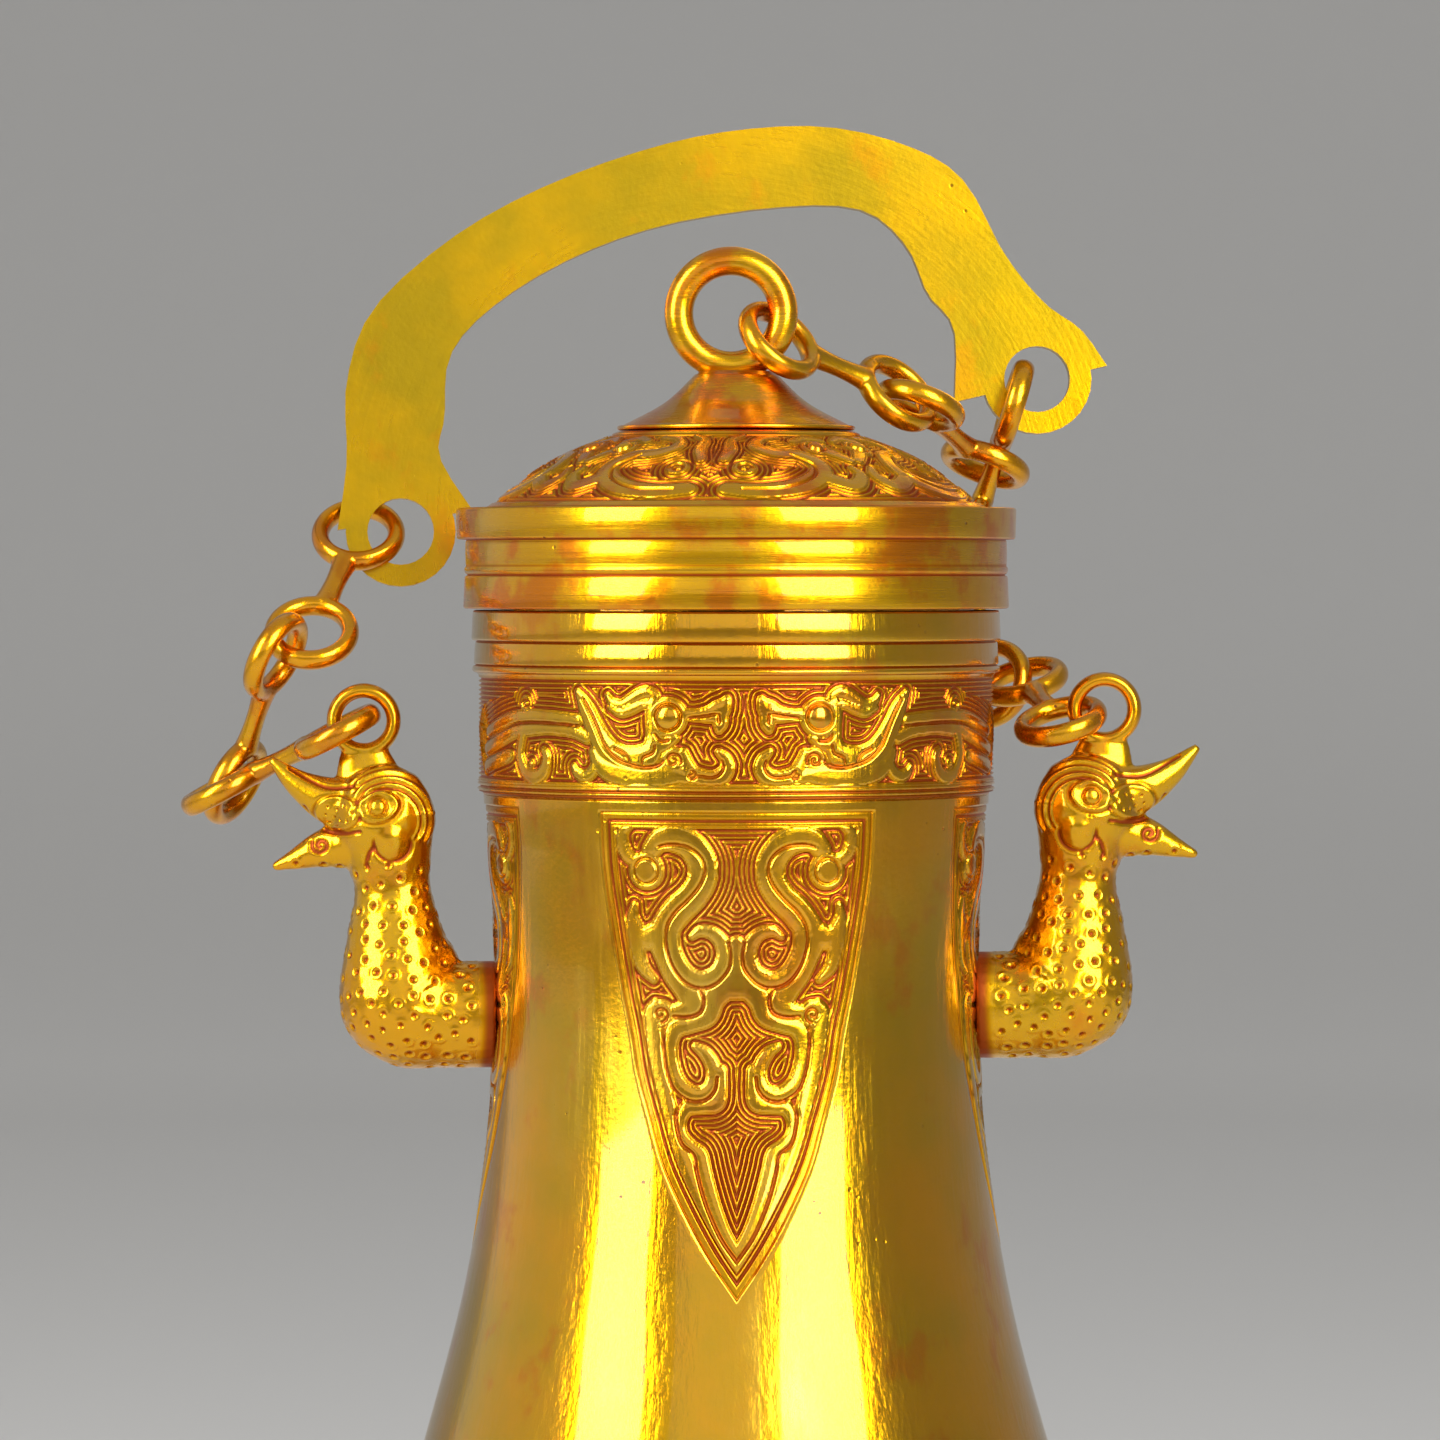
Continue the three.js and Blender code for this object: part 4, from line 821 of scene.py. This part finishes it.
def birdDetail(skin, normals):
    # dots, brow, eye, cheek and beak lines as small moves along the normals
    x, z = skin[:, 0], skin[:, 2]
    facing = np.abs(normals[:, 1])
    sideways = smoothStep(0.15, 0.5, facing)
    eyeX, eyeZ, eyeR = bird["eye"]
    reach = np.hypot(x - eyeX, z - eyeZ)
    eyelid = np.hypot((x - eyeX) * 0.72, z - eyeZ - 0.1 * (x - eyeX))
    eye = 0.7 * np.sqrt(np.clip(1 - (reach / eyeR) ** 2, 0, 1)) - 0.35 * ridge(reach, eyeR + 0.2, 0.28)
    eye += 0.45 * ridge(eyelid, 2.35, 0.36) - 0.3 * ridge(eyelid, 3.1, 0.3)
    browX, browZ = bird["brow"]
    out = np.hypot(x - browX, z - browZ)
    turn = np.degrees(np.arctan2(z - browZ, x - browX))
    over = smoothStep(-45, -20, turn) * (1 - smoothStep(125, 150, turn))
    over *= smoothStep(5, 5.5, out) * (1 - smoothStep(9.4, 10, out)) * smoothStep(243, 246, z)
    brow = 0.4 * np.cos(2 * np.pi * (out - 5.3) / 1.15) * over * smoothStep(0.05, 0.3, facing)
    cheekX, cheekZ, cheekR = bird["cheek"]
    outward = np.hypot(x - cheekX, z - cheekZ)
    below = smoothStep(1.5, -0.5, z - cheekZ)
    cheek = 0.7 * smoothStep(cheekR, 0.2 * cheekR, outward) - 0.45 * below * ridge(outward, cheekR, 0.4)
    patchX, patchZ, patchA, patchB = bird["patch"]
    patch = np.hypot((x - patchX) / patchA, (z - patchZ) / patchB)
    edging = 0.22 * ridge(patch, 1, 0.12) - 0.28 * ridge(patch, 1.22, 0.1)
    lines = bird["lineDepth"] * (1 - smoothStep(0, 0.4, nearest(x, z, bird["lines"])))
    move = sideways * (eye + cheek + edging - lines) + brow

    # dots scattered no closer than their spacing, smaller on the patch by the beak
    onNeck = (z < 240.5) & (np.hypot(x, skin[:, 1]) > 47.5)
    onPatch = (patch < 0.8) & (facing > 0.5)
    order = np.random.default_rng(bird["dotSeed"]).permutation(np.flatnonzero(onNeck | onPatch))
    left = skin[order]
    dot = np.full(len(skin), farOff)
    while len(left):
        centre = left[0]
        small = centre[2] > 244
        spacing = bird["smallDotSpacing"] if small else bird["dotSpacing"]
        left = left[np.linalg.norm(left - centre, axis=1) > spacing]
        dot = np.minimum(dot, np.linalg.norm(skin - centre, axis=1) * (2 if small else 1))
    return move - bird["dotDepth"] * ridge(dot, 0, 0.48) + 0.14 * ridge(dot, 0.95, 0.28)


def makeBirds():
    shells = [limbShell(bird[part], bird["flat"]) for part in ("neck", "upperBeak", "lowerBeak")]
    shells += [ballShell(*ball, bird["flat"]) for ball in bird["balls"]]
    shells += [limbShell(bird["stem"], bird["stemFlat"]), ringShell(*bird["loop"], 48, 16)]
    skin, quads, normals = fused(shells, bird["voxel"], 6)
    move = birdDetail(skin, normals)
    skin = skin + normals * move[:, None]
    # painted shade where the bird meets the vessel
    joined = smoothStep(47.4, 44.6, np.hypot(skin[:, 0], skin[:, 1])) * (skin[:, 2] < 232)
    depth = np.maximum(np.clip(-move / bird["deepest"], 0, 1), 0.8 * joined)
    pivotX, pivotZ = bird["pivot"]
    for name, side in (("left", -1), ("right", 1)):
        lean = math.radians(bird[name]["lean"])
        x, z = -skin[:, 0] - pivotX, skin[:, 2] - pivotZ
        turnedX = x * math.cos(lean) - z * math.sin(lean) + pivotX
        turnedZ = x * math.sin(lean) + z * math.cos(lean) + pivotZ + bird[name]["rise"]
        makePiece(name + "_bird", np.stack([side * turnedX, skin[:, 1], turnedZ], 1), quads, (), depth,
                  "vessel", name + "_bird_lug", birdGilt)


makeBirds()


# handle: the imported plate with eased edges

handle = {"ease": 0.5, "segments": 3}


def makeHandle():
    mesh = nodes["handle"].data.copy()
    mesh.name = "handle_plate"
    piece = bpy.data.objects.new("handle_plate", mesh)
    bpy.context.scene.collection.objects.link(piece)
    weld = piece.modifiers.new("weld", "WELD")
    weld.merge_threshold = 0.00001
    flat = piece.modifiers.new("flat", "DECIMATE")
    flat.decimate_type = "DISSOLVE"
    flat.angle_limit = math.radians(1)
    ease = piece.modifiers.new("ease", "BEVEL")
    ease.width = handle["ease"] * mm
    ease.segments = handle["segments"]
    ease.limit_method = "ANGLE"
    ease.angle_limit = math.radians(40)
    made = bpy.data.meshes.new_from_object(piece.evaluated_get(bpy.context.evaluated_depsgraph_get()))
    piece.modifiers.clear()
    piece.data = made
    made.materials.clear()
    made.materials.append(handleBrass)
    facing = max(made.polygons, key=lambda p: p.area).normal.copy()
    for p in made.polygons:
        p.use_smooth = abs(p.normal.dot(facing)) < 0.999
    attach(piece, "handle")
    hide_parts("handle")
    print("made handle_plate", len(made.vertices), "points")


makeHandle()


# chain links: one casting, set where each packed link lies

chain = {
    "voxel": 0.34, "radius": 7.0, "wire": 3.26, "depth": 4.0, "pitch": 26.8,
    "bar": [(-1, 2.5), (-0.5, 2.1), (0, 1.95), (0.5, 2.1), (1, 2.5)],  # place along it, half thickness
    "barBroad": 4.6,
}
linkNames = ["left_link_1", "left_link_2", "left_link_3", "right_link_1", "right_link_2", "right_link_3",
             "lid_link_1", "lid_link_2"]


def makeLinks():
    half = chain["pitch"] / 2
    bar = [((half - chain["radius"]) * place, 0, thick) for place, thick in chain["bar"]]
    shells = [ringShell((end, 0, 0), chain["radius"], chain["wire"], chain["depth"]) for end in (-half, half)]
    shells.append(limbShell(bar, chain["depth"] / chain["barBroad"]))
    skin, quads, _ = fused(shells, chain["voxel"], 5)
    for name in linkNames:
        where = np.array([v.co for v in nodes[name].data.vertices]) / mm
        middle = where.mean(0)
        along, broad, _ = np.linalg.svd(where - middle, full_matrices=False)[2]
        placed = middle + skin[:, :1] * along + skin[:, 1:2] * np.cross(broad, along) + skin[:, 2:] * broad
        makePiece(name + "_cast", placed, quads, (), None, nodes[name]["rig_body"], name,
                  chainGilt)


makeLinks()

for name in ("base_plate", "lid_collar"):
    nodes[name].data.materials.clear()
    nodes[name].data.materials.append(footGilt)
print("carried over: base plate and lid collar")


# floor that sweeps up all round, lamps and camera

studio = {
    "columns": 96, "sweep": [(2.4, 0), (3.4, 0.25), (4.2, 1.0), (4.6, 2.2), (4.6, 4.5)],  # in metres
    "colour": (218, 217, 215), "roughness": 0.9, "shine": 0.1, "world": 0.5,
}


def makeStudio():
    rows = [(0.02, 0), *curveThrough(studio["sweep"], 10)]
    columns = studio["columns"]
    points = turnedPoints(*rowGrids(rows, columns))
    mesh = bpy.data.meshes.new("floor")
    faces = turnedFaces(len(rows), columns).tolist() + [list(range(columns))]
    mesh.from_pydata(points.tolist(), [], faces)
    mesh.shade_smooth()
    floor = bpy.data.objects.new("floor", mesh)
    bpy.context.scene.collection.objects.link(floor)
    paper = bpy.data.materials.new("floor_paper")
    paper.use_nodes = True
    shader = paper.node_tree.nodes["Principled BSDF"]
    shader.inputs["Base Color"].default_value = rgba(studio["colour"])
    shader.inputs["Roughness"].default_value = studio["roughness"]
    shader.inputs["Specular IOR Level"].default_value = studio["shine"]
    mesh.materials.append(paper)
    world = bpy.data.worlds.new("studio")
    world.use_nodes = True
    backing = world.node_tree.nodes["Background"]
    backing.inputs["Color"].default_value = (1, 1, 1, 1)
    backing.inputs["Strength"].default_value = studio["world"]
    bpy.context.scene.world = world


lamps = {  # degrees from the front, metres away and up, width and height, brightness of its face
    "left": {"way": -51, "away": 1.25, "up": 0.8, "size": (0.62, 1.1), "tilt": 18,
             "bright": 9.8, "spread": 115},
    "right": {"way": 34, "away": 1.25, "up": 0.8, "size": (0.76, 1.1), "tilt": 18,
              "bright": 9.8, "spread": 115},
    "front": {"way": -8, "away": 2.3, "up": 1.05, "size": (1.5, 1.3), "tilt": 0,
              "bright": 0.65, "spread": 180},
    "side": {"way": -100, "away": 1.7, "up": 0.7, "size": (2.0, 1.3), "tilt": 0,
             "bright": 0.35, "spread": 180},
}


def makeLamps():
    for name, lamp in lamps.items():
        data = bpy.data.lights.new(name + "_lamp", "AREA")
        data.shape = "RECTANGLE"
        data.size, data.size_y = lamp["size"]
        half = math.radians(lamp["spread"] / 2)
        narrowing = math.tan(half) / (math.tan(half) - half)  # a narrow lamp is brighter straight ahead
        data.spread = 2 * half
        data.energy = math.pi * lamp["bright"] * data.size * data.size_y / narrowing
        obj = bpy.data.objects.new(name + "_lamp", data)
        bpy.context.scene.collection.objects.link(obj)
        turn = math.radians(lamp["way"])
        obj.location = (lamp["away"] * math.sin(turn), -lamp["away"] * math.cos(turn), lamp["up"])
        obj.rotation_euler = (math.pi / 2 - math.radians(lamp["tilt"]), 0, turn)
        obj.visible_camera = False


view = {"middle": (-0.0029, 0, 0.2664), "away": 1.2, "elevation": 1.25, "frame": 0.2592}


def makeCamera():
    data = bpy.data.cameras.new("camera")
    data.sensor_width = 36
    data.lens = 36 * view["away"] / view["frame"]
    data.clip_end = 50
    camera = bpy.data.objects.new("camera", data)
    bpy.context.scene.collection.objects.link(camera)
    rise = math.radians(view["elevation"])
    back = Vector((0, -math.cos(rise), math.sin(rise)))
    camera.location = Vector(view["middle"]) + back * view["away"]
    camera.rotation_euler = (-back).to_track_quat("-Z", "Y").to_euler()
    bpy.context.scene.camera = camera


makeStudio()
makeLamps()
makeCamera()
bpy.context.scene.view_settings.view_transform = "Standard"
print("studio ready")
